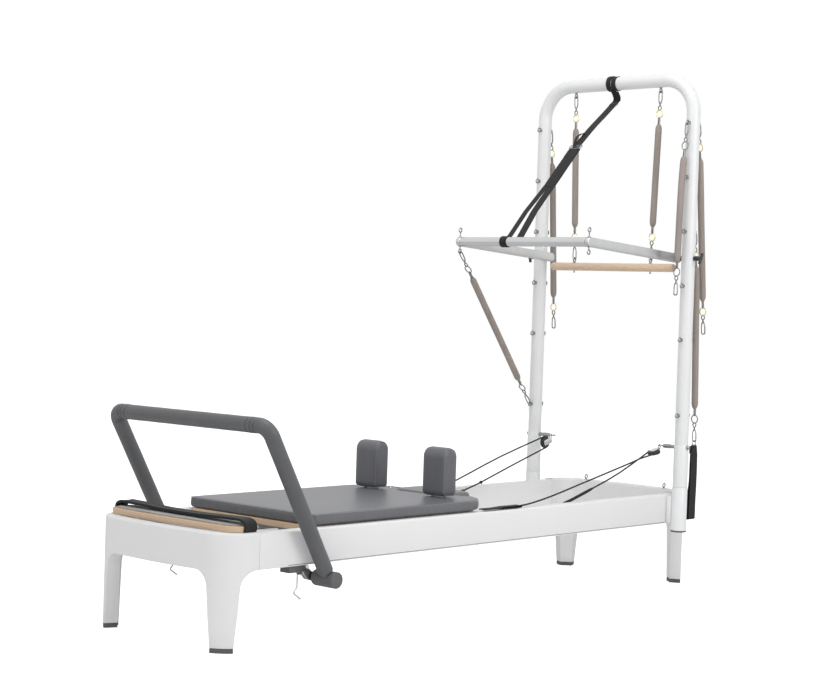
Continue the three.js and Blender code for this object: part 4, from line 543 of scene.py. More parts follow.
crossbar_z, levels, eye_grip, roll_y, bolt_z = 1880, (1715, 1515, 1316, 1116, 917, 638), 0.3, 199, 520
posts = [mm(tower_x, y, z) for y, z in ((-post_y, 215), (-post_y, crossbar_z), (post_y, crossbar_z), (post_y, 215))]
bm = tube(bmesh.new(), bent(posts, 0.127, 20), tube_r / 1000, sides=56)
eyes, bolts = bmesh.new(), bmesh.new()
for side in (-1, 1):
    foot, out = mm(tower_x, side * post_y, 0), sideways * -side
    turned(bm, foot, up, [(25.6, 372.5), (27, 373), (27, 526), (26.6, 527.4), (25.3, 528.2)], 48)
    for height in levels:
        for way in (-1, 1):
            screw_eye(eyes, foot + mm(way * (tube_r - eye_grip), 0, height), forward * way)
    screw_eye(eyes, mm(tower_x, side * roll_y, crossbar_z - tube_r + eye_grip), down)
    start = mm(tower_x, side * (post_y - tube_r + 1), bolt_z)
    turned(bolts, start, out, [(8, 0), (8, 3), (7, 3.6), (7, 24), (8, 24.6), (8, 52), (6.5, 54), (3, 56.5)], 28)
    ring = mm(tower_x, side * (post_y - tube_r - 55 - 10.5), bolt_z)
    circle = [ring + mm(10.5 * cos(a), 10.5 * sin(a), 0) for a in full_turn(28)]
    tube(bolts, circle, 0.0025, sides=10, closed=True, across=up)
    start = mm(tower_x, side * (post_y + tube_r - 1), bolt_z)
    turned(bolts, start, -out, [(9, 0), (9, 4), (6.5, 5), (6.5, 9), (5, 12)], 6)
piece("tower_bent_tube", bm, white_tube, "base", "tower_white", "tower_tube")
steel("tower_eyebolts", eyes, "base", "tower_tube")
steel("pulley_bolts", bolts, "base", "tower_tube")


# Sleeved springs: a steel spring in a taupe nylon sleeve, drawn in at both ends, with a wound
# neck, a plated ring and a nickel snap hook on each end.
taupe = finish("taupe sleeve fabric", (0.32, 0.275, 0.248), 0.72, (45, 0.1), (1700, 0.3), stretch=(1, 1, 0.12))
brass = finish("brass plated wire", (0.86, 0.72, 0.30), 0.25, (80, 0.1), (1800, 0.04), 1.0, sheen=0.06)
nickel = finish("nickel plated wire", (0.25, 0.25, 0.245), 0.32, (80, 0.15), (1800, 0.05), 1.0, sheen=0.08)
hook_wire, gate_wire, eye_wire, ring_wire, neck_wire = 0.0024, 0.0019, 0.0022, 0.0021, 0.0012
ring_middle, neck_start, neck_long, sleeve_start, bend_reach = 86, 97.5, 30, 125, 0.07
hook_end = [(20, -7.6), (34, -7.2), (43, -4), (47, -1.5), (47, 1.5), (43, 4), (38, 6.4)]
swivel = [(2, 0), (3.8, 0.8), (3.8, 3.2), (2.4, 4.2), (2.4, 6), (3.6, 7), (3.6, 9), (2, 10)]


def sleeved_spring(name, body, hang, end, bend=None, plated=(brass, brass)):
    """The pieces of one spring from its top hook to its bottom one, bending softly at one place."""
    middle = bend or (hang + end) / 2
    first = (middle - hang).length * 1000
    length = first + (end - middle).length * 1000
    down_way, away = (middle - hang).normalized(), (end - middle).normalized()

    def at(s):
        """The place on the spring's line at s millimetres from its top."""
        share = (s - first + 1000 * bend_reach) / (2000 * bend_reach)
        if share <= 0:
            return hang + down_way * s / 1000
        if share >= 1:
            return middle + away * (s - first) / 1000
        return (middle - down_way * bend_reach * (1 - share)).lerp(middle + away * bend_reach * share, share)

    metal = bmesh.new()
    for number, (start, way, along) in enumerate(((0, 1, down_way), (length, -1, away))):
        out = along * way
        side = (sideways - along * along.y).normalized()
        face = out.cross(side)
        origin = at(start)

        def spot(s, t):
            return origin + out * s / 1000 + side * t / 1000

        hook = [spot(7.7 - 5.9 * sin(a), 7.4 * cos(a)) for a in swept(0, pi, 10)] + [spot(*p) for p in hook_end]
        tube(metal, smooth_route(hook, 2), hook_wire, sides=10, across=face)
        gate = [spot(38, 6.2), spot(24, 7.3), spot(11, 7.4), spot(7, 6.4)]
        tube(metal, smooth_route(gate, 3), gate_wire, sides=8, across=face)
        turned(metal, spot(46, 0), out, swivel, 16, face)
        eye = [spot(64 - 8.2 * cos(a), 6.6 * sin(a)) for a in full_turn(20)]
        tube(metal, eye, eye_wire, sides=8, closed=True, across=face)
        circle = [spot(ring_middle + 15.2 * cos(a), 13.2 * sin(a)) for a in full_turn(28)]
        ring = tube(bmesh.new(), circle, ring_wire, sides=8, closed=True, across=face)
        piece(f"{name}_ring_{number + 1}", ring, plated[number], body, "chrome_wire", name)
        wound = []
        for k, a in enumerate(swept(0, 9 * 2 * pi, 90)):
            spread = (2.2 + 2.2 * min(1, k / 30)) / 1000
            wound.append(spot(neck_start + neck_long * k / 90, 0) + (side * cos(a) + face * sin(a)) * spread)
        tube(metal, wound, neck_wire, sides=6, across=out)
    piece(f"{name}_hooks", metal, nickel, body, "chrome_wire", name)
    low, high = sleeve_start, length - sleeve_start
    places = [low + (high - low) * k / 60 for k in range(61)]
    radii = [(6.4 + 6.0 * min(1, min(s - low, high - s) / 16) ** 0.55) / 1000 for s in places]
    sleeve = tube(bmesh.new(), [at(s) for s in places], radii, sides=40)
    for vert in sleeve.verts:
        distance = (vert.co - hang).length * 1000
        edge = max(0, 1 - min(abs(distance - low), abs(high - distance)) / 50)
        spoke = vert.co - at(min(max(distance, low), high))
        angle = atan2(spoke.y, spoke.x)
        vert.co -= spoke * (0.022 * (1 + sin(9 * angle + distance * 0.012)) + 0.05 * edge * (1 + sin(15 * angle)))
    piece(f"{name}_sleeve", sleeve, taupe, body, "sleeve_fabric", name, soft=60)


eye_out, seat_gap = 37.1, 0.9
bar_x, bar_z, bar_r, arm_y, roll_z, roll_r, pin_z = 478, 1254, 17, 300, 1182, 15.5, 1218


def draped(side, way, rank, lean, length):
    """Top, bottom and bend of a spring hung on one eye that lies against the next eye down."""
    eye_side, sleeve_half, air = 9, 12.5, 1.8
    hang = mm(tower_x + way * eye_out, side * post_y, levels[rank] - seat_gap)
    bend = mm(tower_x + way * (eye_out + eye_side + sleeve_half + air), side * post_y, levels[rank + 1])
    rest = length / 1000 - (bend - hang).length
    return hang, bend + Vector((way * sin(radians(lean)), 0, -cos(radians(lean)))) * rest, bend


low_spring = (-1, 1, 2, 2.2, 780)
for name, place, plated in (
        ("spring_far_back", (1, 1, 0, 3.7, 780), (brass, brass)),
        ("spring_near_front", (-1, -1, 0, 1.8, 636), (nickel, nickel)),
        ("spring_near_back", (-1, 1, 0, 5.5, 780), (brass, brass)),
        ("spring_near_low", low_spring, (brass, nickel))):
    sleeved_spring(name, name, *draped(*place), plated)
upper, lower = mm(bar_x, arm_y, bar_z - bar_r + eye_grip - 19), mm(tower_x - eye_out, post_y, levels[-1])
way = (lower - upper).normalized()
stretch = ("push_bar", "base", tuple(upper + way * 0.11), tuple(lower - way * 0.11))
pull = way * seat_gap / 1000
sleeved_spring("spring_push_bar", stretch, upper + pull, lower - pull, plated=(nickel, nickel))
for name, side in two_sides:
    upper = mm(tower_x, side * roll_y, crossbar_z - tube_r + eye_grip - 12)
    lower = mm(tower_x, side * 180, roll_z + roll_r - eye_grip + 12)
    pull = (lower - upper).normalized() * seat_gap / 1000
    sleeved_spring(f"roll_spring_{name}", "roll_down", upper + pull, lower - pull)


# Push-through bar: a satin aluminium cross tube between two flat arms with rounded ends, each
# with a screw eye above and below. It swings on the lock pins in the posts.
satin = finish("satin aluminium", (0.60, 0.605, 0.61), 0.34, (30, 0.04), (900, 0.06), 1.0, (1, 0.05, 1), 0.08)
bar, pivot = mm(bar_x, 0, bar_z), mm(tower_x, 0, pin_z)
profile = [(15.5, 0), (bar_r, 1.4), (bar_r, 579.4), (15.5, 580.8)]
bm = turned(bmesh.new(), bar + mm(0, -290.4, 0), sideways, profile, 48, up)
piece("push_bar_cross_tube", bm, satin, "push_bar", "bar_aluminium", "ptb_cross_tube")
lie = atan2(pivot.z - bar.z, pivot.x - bar.x)
for name, side in two_sides:
    outline = [centre + mm(bar_r * cos(a), side * arm_y - 9, bar_r * sin(a))
               for centre, way in ((bar, 1), (pivot, -1)) for a in swept(lie + way * pi / 2, pi, 16)]
    bm = soften(raised(outline, mm(0, 18, 0)), 0.0035, 4, 1.2, clamp=False)
    piece(f"push_bar_arm_{name}", bm, satin, "push_bar", "bar_aluminium", f"ptb_arm_{name}", soft=50)
    bm = bmesh.new()
    screw_eye(bm, bar + mm(0, side * arm_y, bar_r - eye_grip), up, 26)
    screw_eye(bm, bar + mm(0, side * arm_y, eye_grip - bar_r), down, 19)
    steel(f"push_bar_eyes_{name}", bm, "push_bar", f"ptb_arm_{name}")


# Lock pins: black T-handled pins of moulded plastic over steel, in moulded ferrules. They go through
# the posts and the arms' ends, and the push-through bar swings on them.
black_knob = finish("black moulded plastic", (0.02, 0.02, 0.021), 0.45, (40, 0.1), (1200, 0.15))
shank = [(5.4, 292), (6, 293), (6, 311), (8.4, 311.5), (9, 313), (9, 321), (8.2, 322.4), (6, 322.6), (6, 374.8),
         (8.2, 375.6), (9, 377), (9, 394), (7, 396.5), (6, 401), (5, 404)]
tee = [(3.5, 0), (5.5, 2), (5.2, 12), (6, 18), (6, 26), (5.2, 32), (5.5, 42), (3.5, 44)]
for name, side, lean in (("near", -1, Vector((0.45, 0, 0.9))), ("far", 1, Vector((-0.25, 0, 0.95)))):
    out, lean = sideways * side, lean.normalized()
    bm = turned(bmesh.new(), pivot, out, shank, 28)
    turned(bm, pivot + out * 0.4044 - lean * 0.022, lean, tee, 20, out)
    piece(f"push_bar_lock_pin_{name}", bm, black_knob, f"push_bar_lock_{name}", "knob_metal", f"ptb_lock_{name}")


# Roll-down bar: a turned maple dowel, lacquered, with a screw eye near each end and its nut below.
# It hangs level from its two sleeved springs under the crossbar.
def wood(name, light, dark, rough, along, bands=None):
    """Pale wood: stretched grain, and glued plies one above another where bands gives their pitch."""
    material = finish(name, light, rough, (16, 0.06), (420, 0.12), stretch=along, sheen=0.07)
    nodes, add, join = workbench(material)
    wave, tone = add("TexWave", Distortion=0.4 if bands else 7, Detail_Scale=2), add("ValToRGB")
    wave.bands_direction = "Z" if bands else "DIAGONAL"
    put(wave, Scale=bands_per_metre / bands if bands else 22)
    source, output = ("Texture Coordinate", "Object") if bands else ("Mapping", "Vector")
    join(nodes[source], output, wave, "Vector")
    for stop, place, shade in zip(tone.color_ramp.elements, (0.05, 0.45), (dark, (1, 1, 1))):
        stop.color, stop.position = [*shade, 1], place
    join(wave, "Fac", tone, "Fac")
    return darkened(material, tone, "Color", 0.8)


maple = wood("lacquered maple", (0.74, 0.56, 0.41), (0.90, 0.85, 0.80), 0.38, (6, 0.5, 6))
profile = [(12.5, 0), (14.6, 0.9), (roll_r, 3.2), (roll_r, 568.8), (14.6, 571.1), (12.5, 572)]
bm = turned(bmesh.new(), mm(tower_x, -286, roll_z), sideways, profile, 40, up)
piece("roll_down_dowel", bm, maple, "roll_down", "roll_wood", "roll_down_bar")
bm = bmesh.new()
for side in (-1, 1):
    middle, grip = mm(tower_x, side * 180, roll_z), mm(0, 0, roll_r - eye_grip)
    screw_eye(bm, middle + grip, up)
    turned(bm, middle - grip, down, [(2.4, 0), (2.4, 4), (4.4, 4.2), (4.4, 7), (2, 8)], 12)
steel("roll_down_eyes", bm, "roll_down", "roll_down_bar")


# Safety strap: black nylon webbing, two wraps round the crossbar, cinched under a steel buckle,
# doubled where it is sewn, then two strands down to a wrap round the push-through bar.
strap_top, strap_foot = mm(tower_x, 16, crossbar_z), mm(bar_x, 80, bar_z)
buckle = mm(tower_x + 21, 18, crossbar_z - 63)
run = mm(bar_x, 52, bar_z) - buckle
sag_table = [(0, 0, 0), (0.18, 15, 3), (0.31, 28, 4), (0.39, 29, 6), (0.52, 20, 8), (0.62, 10, 11), (0.8, 5, 15),
             (1, 0, 0)]


def on_strap(share, shift=0.0, lift=0.0):
    """A place on the strap's line at a share of its run, beside it and above it in millimetres."""
    for (a, rise_a, aside_a), (b, rise_b, aside_b) in zip(sag_table, sag_table[1:]):
        if share <= b:
            part = (share - a) / (b - a)
            aside, rise = aside_a + (aside_b - aside_a) * part, rise_a + (rise_b - rise_a) * part
            return buckle + run * share + mm(0, shift + aside, lift + rise)


bm = bmesh.new()
for centre, shift, radius, width in ((strap_top, -11.4, 27.6, 0.020), (strap_top, 11.2, 27.6, 0.020),
                                     (strap_top, 11.4, 29.8, 0.019), (strap_foot, 0, 18.6, 0.028),
                                     (strap_foot, 1, 20.6, 0.026)):
    circle = [centre + mm(0, shift, 0) + mm(radius * cos(a), 0, radius * sin(a)) for a in full_turn(48)]
    strap(bm, circle, width, 0.002, closed=True)
drop = [strap_top + mm(2, 0, -28), buckle + mm(-2, -1, 14), buckle + mm(-3, 0, -1)]
strap(bm, smooth_route(drop + [on_strap(s) for s in (0.12, 0.25, 0.42)], 6), 0.033, 0.0022)
strap(bm, smooth_route([on_strap(s) for s in (0.405, 0.47, 0.53, 0.59, 0.64)], 5), 0.052, 0.0036, crown=0.0012)
for shares in ((0.42, 0.44, 0.46), (0.575, 0.6, 0.625)):
    strap(bm, smooth_route([on_strap(s, lift=2.3) for s in shares], 3), 0.050, 0.0016)
split, strand_half = 0.63, 27
end_share = 1 - 19.5 / (run.length * 1000)
for way, width in ((1, 23), (-1, 31)):
    first, places = strand_half - width / 2, []
    for share in [split + (end_share - split) * k / 12 for k in range(13)]:
        places.append(on_strap(share, way * (first + (strand_half - first) * (share - split) / (1 - split))))
    strap(bm, smooth_route(places, 3), width / 1000, 0.002)
tail = [(0.3, 4, 2), (0.31, 15, 8), (0.34, 20, 14), (0.37, 15, 12), (0.4, 6, 4)]
strap(bm, smooth_route([on_strap(*p) for p in tail], 6), 0.012, 0.0016)
hung = ("base", "push_bar", tuple(on_strap(0.06)), tuple(on_strap(0.94)))
piece("safety_strap_webbing", bm, webbing_black, hung, "webbing", "safety_strap", soft=50)
bm = bmesh.new()
along = run.normalized()
side = (sideways - along * along.y).normalized()
for share, wide in ((0.035, 18), (0.395, 28)):
    here = on_strap(share, lift=1.2)
    half = [(-8, -wide + 2), (-6, -wide), (6, -wide), (8, -wide + 2)]
    line = [here + along * s / 1000 + side * t / 1000 for s, t in half + [(-s, -t) for s, t in half]]
    tube(bm, line, 0.0017, sides=8, closed=True, across=along.cross(side))
    tube(bm, [here - side * wide / 1000, here + side * wide / 1000], 0.0015, sides=8, across=along)
steel("safety_strap_buckles", bm, hung, "safety_strap")


# Foot loop: a cotton strap folded into a long flat loop and stitched under a steel D-ring,
# clipped to the low spring. It hangs empty, its far ply standing off a little at the bottom.
ring_centre = draped(*low_spring)[1] + mm(0, 0, 2 * 1.8 + 0.5 + 2 - 11)
loop_top, loop_drop, ply_gap = ring_centre - up * 0.008, 0.272, 0.0022
plies, rise = [], []
for share in [k / 24 for k in range(25)]:
    spread = 0.013 * min(1, max(0, (share - 0.4) / 0.35)) ** 2
    gap, here = ply_gap + 0.0016 * sin(pi * min(1, share * 1.3)), loop_top + down * loop_drop * share
    plies.append(here - sideways * gap)
    rise.insert(0, here + sideways * (gap + spread))
belly = (rise[0] - plies[-1]) / 2
turn_under = [plies[-1] + belly * (1 - cos(a)) - up * belly.length * 0.6 * sin(a) for a in swept(0, pi, 4)[1:-1]]
widths = [0.030 + 0.010 * min(1, min(k, 52 - k) / 3) for k in range(53)]
bm = strap(bmesh.new(), plies + turn_under + rise, widths, 0.0024, across=forward)
strap(bm, [loop_top - up * 0.002, loop_top - up * 0.03], 0.037, 0.0078, across=forward)
strap(bm, [loop_top + up * 0.0032, loop_top - up * 0.004], [0.022, 0.030], 0.0042, across=forward)
piece("foot_loop_webbing", bm, webbing_black, "loop_strap", "webbing", "loop_strap", soft=50)
dee = [(11 * cos(a), 11 * sin(a)) for a in swept(0, pi, 16)] + [(x, -7.6) for x in (-11, -10, 0, 10, 11)]
bm = tube(bmesh.new(), [ring_centre + mm(x, 0, z) for x, z in dee], 0.0016, sides=10, closed=True)
steel("foot_loop_ring", bm, "loop_strap", "loop_strap")


# Carriage frame: welded steel angle and flat, painted grey, under the deck, with an axle at
# each wheel and lugs at the back for the ropes.
grey_paint = finish("grey painted steel", (0.30, 0.305, 0.31), 0.42, (12, 0.05), (1100, 0.12), 0.3)
dressed("carriage_frame", grey_paint, "carriage", "carriage_metal", 0.0006)


# Wheels: turned urethane tyres on a nylon hub, running on the rail flanges. Each turns on an axle
# of the carriage frame.
urethane = finish("black urethane", (0.03, 0.03, 0.032), 0.5, (40, 0.08), (1200, 0.12))
tyre = [(8, 0.2), (20, 0.3), (20.5, 1.2), (25.5, 1.3), (27.4, 1.9), (28, 3.5), (28, 14.5), (27.4, 16.1), (25.5, 16.7),
        (20.5, 16.8), (20, 17.6), (8, 17.8)]
for place, x in (("front", -700), ("back", -60)):
    for name, side in two_sides:
        bm = turned(bmesh.new(), mm(x, side * 247, 274.3), sideways * side, tyre, 48)
        node = f"wheel_{place}_{name}"
        piece(f"carriage_{node}", bm, urethane, node, "wheel_urethane", node)


# Carriage deck: birch plywood cut to the pad's plan, its plies showing along the edge. It is screwed
# to the carriage frame and carries the pad and the rests' pins.
def arc(cx, cy, radius, start, turn, steps, other=None):
    """Plan points round a centre; the second radius makes it oval."""
    return [(cx + radius * cos(a), cy + (other or radius) * sin(a)) for a in swept(start, turn, steps)]


def both_sides(half):
    """A plan that is the same on both sides of the middle."""
    return half + [(x, -y) for x, y in reversed(half)]


birch_ply = wood("birch plywood", (0.70, 0.53, 0.37), (0.66, 0.56, 0.47), 0.45, (5, 0.6, 5), 0.0026)
plan = both_sides(arc(-800, -254, 12, pi, pi / 2, 6) + arc(-103, -146, 130, -pi / 2, pi / 2, 14, 120))
bm = soften(raised([mm(x, y, 326.7) for x, y in plan], mm(0, 0, 18)), 0.0015)
piece("carriage_deck_board", bm, birch_ply, "carriage", "deck_board", "carriage_deck")


# Carriage pad: firm foam glued to the deck and covered in grey vinyl, drawn tight over square
# edges, with a welt where the top meets the side band and a bay for the headrest. The welt is coloured lighter than
# the vinyl, a painted highlight along the top edge.
def stuffed(bm, voxel, puff, bottom):
    """Foam under vinyl: an even mesh, crowned between its seams and lightly puckered along them."""
    bmesh.ops.recalc_face_normals(bm, faces=bm.faces)
    core = placed("core", bpy.data.meshes.new("core"))
    bm.to_mesh(core.data)
    remesh = core.modifiers.new("remesh", "REMESH")
    remesh.mode, remesh.voxel_size = "VOXEL", voxel
    even = bpy.data.meshes.new_from_object(core.evaluated_get(bpy.context.evaluated_depsgraph_get()))
    bpy.data.objects.remove(core)
    bm.clear()
    bm.from_mesh(even)
    upper = [v for v in bm.verts if v.co.z > bottom + 0.002]
    bmesh.ops.smooth_vert(bm, verts=upper, factor=0.5, use_axis_x=True, use_axis_y=True, use_axis_z=True)
    bm.normal_update()
    low, high = [[pick(v.co[i] for v in bm.verts) for i in range(3)] for pick in (min, max)]
    for vert in upper:
        x, y, z = [1 - abs(2 * (vert.co[i] - low[i]) / (high[i] - low[i]) - 1) ** 8 for i in range(3)]
        pucker = 0.0003 * (1 - x * y) * sin(190 * vert.co.x + 150 * vert.co.y)
        normal = vert.normal.copy()
        vert.co += Vector((normal.x * y * z, normal.y * x * z, normal.z * x * y)) * puff + normal * pucker
    for vert in bm.verts:
        vert.co.z = max(vert.co.z, bottom)
    return bm


def cushion(bm, voxel, puff, bottom, body, node):
    """A padded piece, with one subdivision so that its curves stay round."""
    made = piece(f"{node}_cushion", stuffed(bm, voxel, puff, bottom), vinyl, body, "vinyl", node, soft=80)
    layer = made.modifiers.new("subdivision", "SUBSURF")
    layer.levels = layer.render_levels = 1


vinyl = finish("grey vinyl", (0.126, 0.128, 0.140), 0.40, (6, 0.04), (900, 0.16), sheen=0.07, spots=520)
# The welts of the pad, headrest and rests are coloured lighter than the vinyl: a painted highlight along the welted
# edges.
welt_highlight_vinyl = finish("painted highlight welt vinyl", (0.17, 0.173, 0.185), 0.38, (10, 0.05), (900, 0.12), sheen=0.06)
pad_front, pad_back, pad_half, bay, foot_corner, shoulder = -808, 37, 292, 128, 22, 140


def pad_outline(inset, z):
    """The pad's outline: square foot, sloping shoulders, a bay at the back."""
    corner_x, shoulder_x = pad_front + foot_corner, pad_back - shoulder
    half = arc(corner_x, -pad_half + foot_corner, foot_corner - inset, pi, pi / 2, 8)
    half += [(shoulder_x - (shoulder_x - corner_x) * (1 - k / 20), -pad_half + inset) for k in range(1, 20)]
    half += arc(shoulder_x, -pad_half + 152, shoulder - inset, -pi / 2, pi / 2, 14, 152 - inset)
    bay_x, bay_y = -64 - inset, -bay - inset
    half += [(pad_back - inset, bay_y), (-20, bay_y), (bay_x, bay_y), (bay_x, -bay / 2)]
    return [mm(x, y, z) for x, y in both_sides(half)]


bm = soften(raised(pad_outline(1.5, 345.4), mm(0, 0, 34.2)), 0.009, 4, 1.2, (0.379, 9))
cushion(bm, 0.0065, 0.0018, 0.3452, "carriage", "carriage_pad")
bm = tube(bmesh.new(), pad_outline(3.2, 376.4), 0.0016, sides=8, closed=True, across=up)
seam = [mm(pad_front + x, 43, z) for x, z in ((1.4, 347), (-0.2, 361), (1.6, 373))]
tube(bm, seam, 0.0011, sides=8)
piece("carriage_pad_welt", bm, welt_highlight_vinyl, "carriage", "vinyl", "carriage_pad", soft=80)


# Headrest: a padded board of its own in the bay of the pad, covered in the same grey vinyl with a
# welt, hinged at its front edge.
def rounded_outline(width, depth, radius, z, centre=(0, 0), steps=8):
    w, h, places = width / 2 - radius, depth / 2 - radius, []
    for cx, cy, start in ((w, -h, -pi / 2), (w, h, 0), (-w, h, pi / 2), (-w, -h, pi)):
        places += arc(centre[0] + cx, centre[1] + cy, radius, start, pi / 2, steps)
    return [mm(x, y, z) for x, y in places]


bm = raised(rounded_outline(162, 242, 38, 345.6, (35, 0), 10), mm(0, 0, 36))
cushion(soften(bm, 0.011, 4, 1.2, (0.381, 9)), 0.005, 0.002, 0.3454, "headrest", "headrest")
bm = tube(bmesh.new(), rounded_outline(158.4, 238.4, 37, 375.6, (35, 0), 10), 0.0016, sides=8, closed=True, across=up)
piece("headrest_welt", bm, welt_highlight_vinyl, "headrest", "vinyl", "headrest", soft=80)


# Shoulder rests: upholstered blocks with a rounded top, a side band welted to two end faces,
# each on two chrome pins that drop through the pad into the deck.
rest_x, rest_y, rest_low, rest_high, rest_half, rest_corner = -102.5, 157, 385, 547, 32.5, 16


def rest_outline(inset, y):
    """One end face of a rest: round at the top, small round corners at the bottom."""
    w, crown_z, corner_z = rest_half - inset, rest_high - rest_half, rest_low + rest_corner
    inner, straight = rest_half - rest_corner, rest_high - rest_low - rest_half - rest_corner
    places = arc(rest_x, crown_z, w, 0, pi, 24)
    places += [(rest_x - w, crown_z - straight * k / 5) for k in range(1, 5)]
    places += arc(rest_x - inner, corner_z, rest_corner - inset, pi, pi / 2, 6)
    places += arc(rest_x + inner, corner_z, rest_corner - inset, 1.5 * pi, pi / 2, 6)
    places += [(rest_x + w, corner_z + straight * k / 5) for k in range(1, 5)]
    return [mm(x, y, z) for x, z in places]


seats = bmesh.new()
for name, side in two_sides:
    middle, body = side * rest_y, f"shoulder_rest_{name}"
    bm = soften(raised(rest_outline(1.5, middle - 48.5), mm(0, 97, 0)), 0.010, 4)
    cushion(bm, 0.0042, 0.0018, 0.3855, body, body)
    welts, pins = bmesh.new(), bmesh.new()
    for way in (-1, 1):
        tube(welts, rest_outline(4.2, middle + way * 45.6), 0.0017, sides=8, closed=True)
        turned(pins, mm(rest_x, middle + way * 28, 335), up, [(3.6, 0), (5, 1.5), (5, 60)], 24)
        seat = mm(rest_x, middle + way * 28, 379.5)
        turned(seats, seat, up, [(9.5, 0), (9.5, 1.4), (8.4, 2.2), (5.6, 2.3)], 28)
    piece(f"{body}_welts", welts, welt_highlight_vinyl, body, "vinyl", body, soft=80)
    steel(f"{body}_pins", pins, body, body)
steel("shoulder_rest_seats", seats, "carriage", "carriage_pad")


# Spring bar and springs: a steel bar across the rails and four close-wound springs with
# hooked ends between it and the front of the carriage.
dressed("spring_bar", grey_paint, "base", "spring_bar_metal", 0.0012)
spring_wire = finish("spring steel", (0.52, 0.52, 0.53), 0.3, (70, 0.15), (1500, 0.06), 1.0)
spring_from, spring_to, coil_z, coil_r, coil_end = -1010.5, -786.5, 311, 11.9, 20
first, last, winds = spring_from + coil_end, spring_to - coil_end, 34 * 12
for number in range(4):
    y = (number - 1.5) * 92
    line = [mm(spring_from, y, coil_z), mm(spring_from + 8, y, coil_z)]
    for k, a in enumerate(swept(0, 34 * 2 * pi, winds)):
        grow = coil_r * min(1, k / 12, (winds - k) / 12)
        line.append(mm(first + (last - first) * k / winds, y + grow * cos(a), coil_z + grow * sin(a)))
    line += [mm(spring_to - 8, y, coil_z), mm(spring_to, y, coil_z)]
    bm, node = tube(bmesh.new(), line, 0.0021, sides=8, across=up), f"carriage_spring_{number + 1}"
    piece(f"{node}_coil", bm, spring_wire, "base", "spring_steel", node, soft=60)


# Standing platform: a bowed birch plywood board on the foot end with two locating cleats under
# it, a ribbed grip mat on top and a padded foot strap arched over both.
def board_outline(inset, z):
    """The board's outline, bowed on its outer side."""
    half, depth = 295 - inset, 54 - inset
    end = min(50, depth - 2)
    x, y = depth - end, half - end
    shape = arc(x, y, end, 0, pi / 2, 12) + arc(-x, y, end, pi / 2, pi / 2, 12)
    shape += [(-depth - 6 * (1 - share * share), share * y) for share in [1 - k / 10 for k in range(1, 20)]]
    shape += arc(-x, -y, end, pi, pi / 2, 12) + arc(x, -y, end, 1.5 * pi, pi / 2, 12)
    return [mm(-1075 + x, y, z) for x, y in shape]


bm = soften(raised(board_outline(0, 346.3), mm(0, 0, 18)), 0.0025, least=radians(50))
for side in (-1, 1):
    low, high = sorted((side * 266, side * 250))
    boxed(bm, (-1071, low, 332.3), (-1031, high, 347))
piece("platform_bowed_board", bm, birch_ply, "base", "board_wood", "platform_board")
mat_grey = finish("ribbed grip mat", (0.40, 0.393, 0.393), 0.8, (20, 0.2), (60, 0.5), stretch=(12, 0.4, 1))
bm = soften(raised(board_outline(14, 364.6), mm(0, 0, 2.9)), 0.0008, 2)
piece("platform_grip_mat", bm, mat_grey, "base", "mat_rubber", "platform_mat")
crown, out = 381.6, 295.3
half = [(out - 1, 344), (out + 5, 348), (out + 8.5, 356), (out + 8, 367), (out + 2, 376.5), (out - 9, 382.4),
        (out - 26, crown + 4), (180, crown + 2), (90, crown - 1), (30, crown - 1.6)]
arch = [mm(-1067, y, z) for y, z in half] + [mm(-1067, -y, z) for y, z in reversed(half)]
bm = strap(bmesh.new(), smooth_route(arch, 5), 0.0435, 0.0078, across=forward, crown=0.0012)
piece("platform_foot_strap", bm, webbing_black, "base", "webbing", "platform_strap", soft=50)


# Footbar: one bent steel tube between two hubs, under three sleeves of grey foam in a vinyl
# skin that butt together on the top run. It turns on the pins of its sliding links.
skin_grey = (0.098, 0.100, 0.106)
footbar_grey = finish("grey footbar skin", skin_grey, 0.46, (14, 0.06), (700, 0.14), sheen=0.08, spots=600)
foot_x, foot_y, foot_z, rise_long, lean = -797, 353, 194, 532, radians(29.7)
top_x, top_z = foot_x - rise_long * sin(lean), foot_z + rise_long * cos(lean)
ends = ((foot_x, -foot_y, foot_z), (top_x, -foot_y, top_z), (top_x, foot_y, top_z), (foot_x, foot_y, foot_z))
line = bent([mm(*p) for p in ends], 0.036, 14)
bm = tube(bmesh.new(), line, 0.019, sides=28)
hub = [(22, 0), (24.4, 0.8), (25, 2.6), (25, 85.2), (24.4, 87.2), (22.4, 88)]
for side in (-1, 1):
    turned(bm, mm(foot_x, side * 300, foot_z), sideways * side, hub, 48)
piece("footbar_bent_tube", bm, footbar_grey, "footbar", "footbar_metal", "footbar_tube")


def foam_grip(route, slits=()):
    """A foam sleeve: rounded over at both ends, with a taped band between each pair of slits."""
    spans = run_lengths(route)
    total = spans[-1]
    cuts = [cut for slit in slits for cut in (slit, total - slit)]
    marks = {total * k / 120 for k in range(121)} | {0.0012, 0.004, total - 0.0012, total - 0.004}
    marks |= {cut + step for cut in cuts for step in (-0.0018, -0.0007, 0.0007, 0.0018)}
    centres, radii = [], []
    for mark in sorted(marks):
        a, b, low, high = next(row for row in zip(route, route[1:], spans, spans[1:]) if mark <= row[3] + 1e-9)
        centres.append(a.lerp(b, (mark - low) / (high - low)))
        edge = min(mark, total - mark)
        band = 0.0005 if slits and min(slits) < edge < max(slits) else 0
        nip = max([0] + [1 - abs(mark - cut) / 0.0018 for cut in cuts])
        over = 0.0026 * (1 - min(1, edge / 0.004)) ** 2
        radii.append(0.0234 + 0.0001 * sin(mark * 60) + band - over - 0.0034 * nip)
    return tube(bmesh.new(), centres, radii, sides=40)


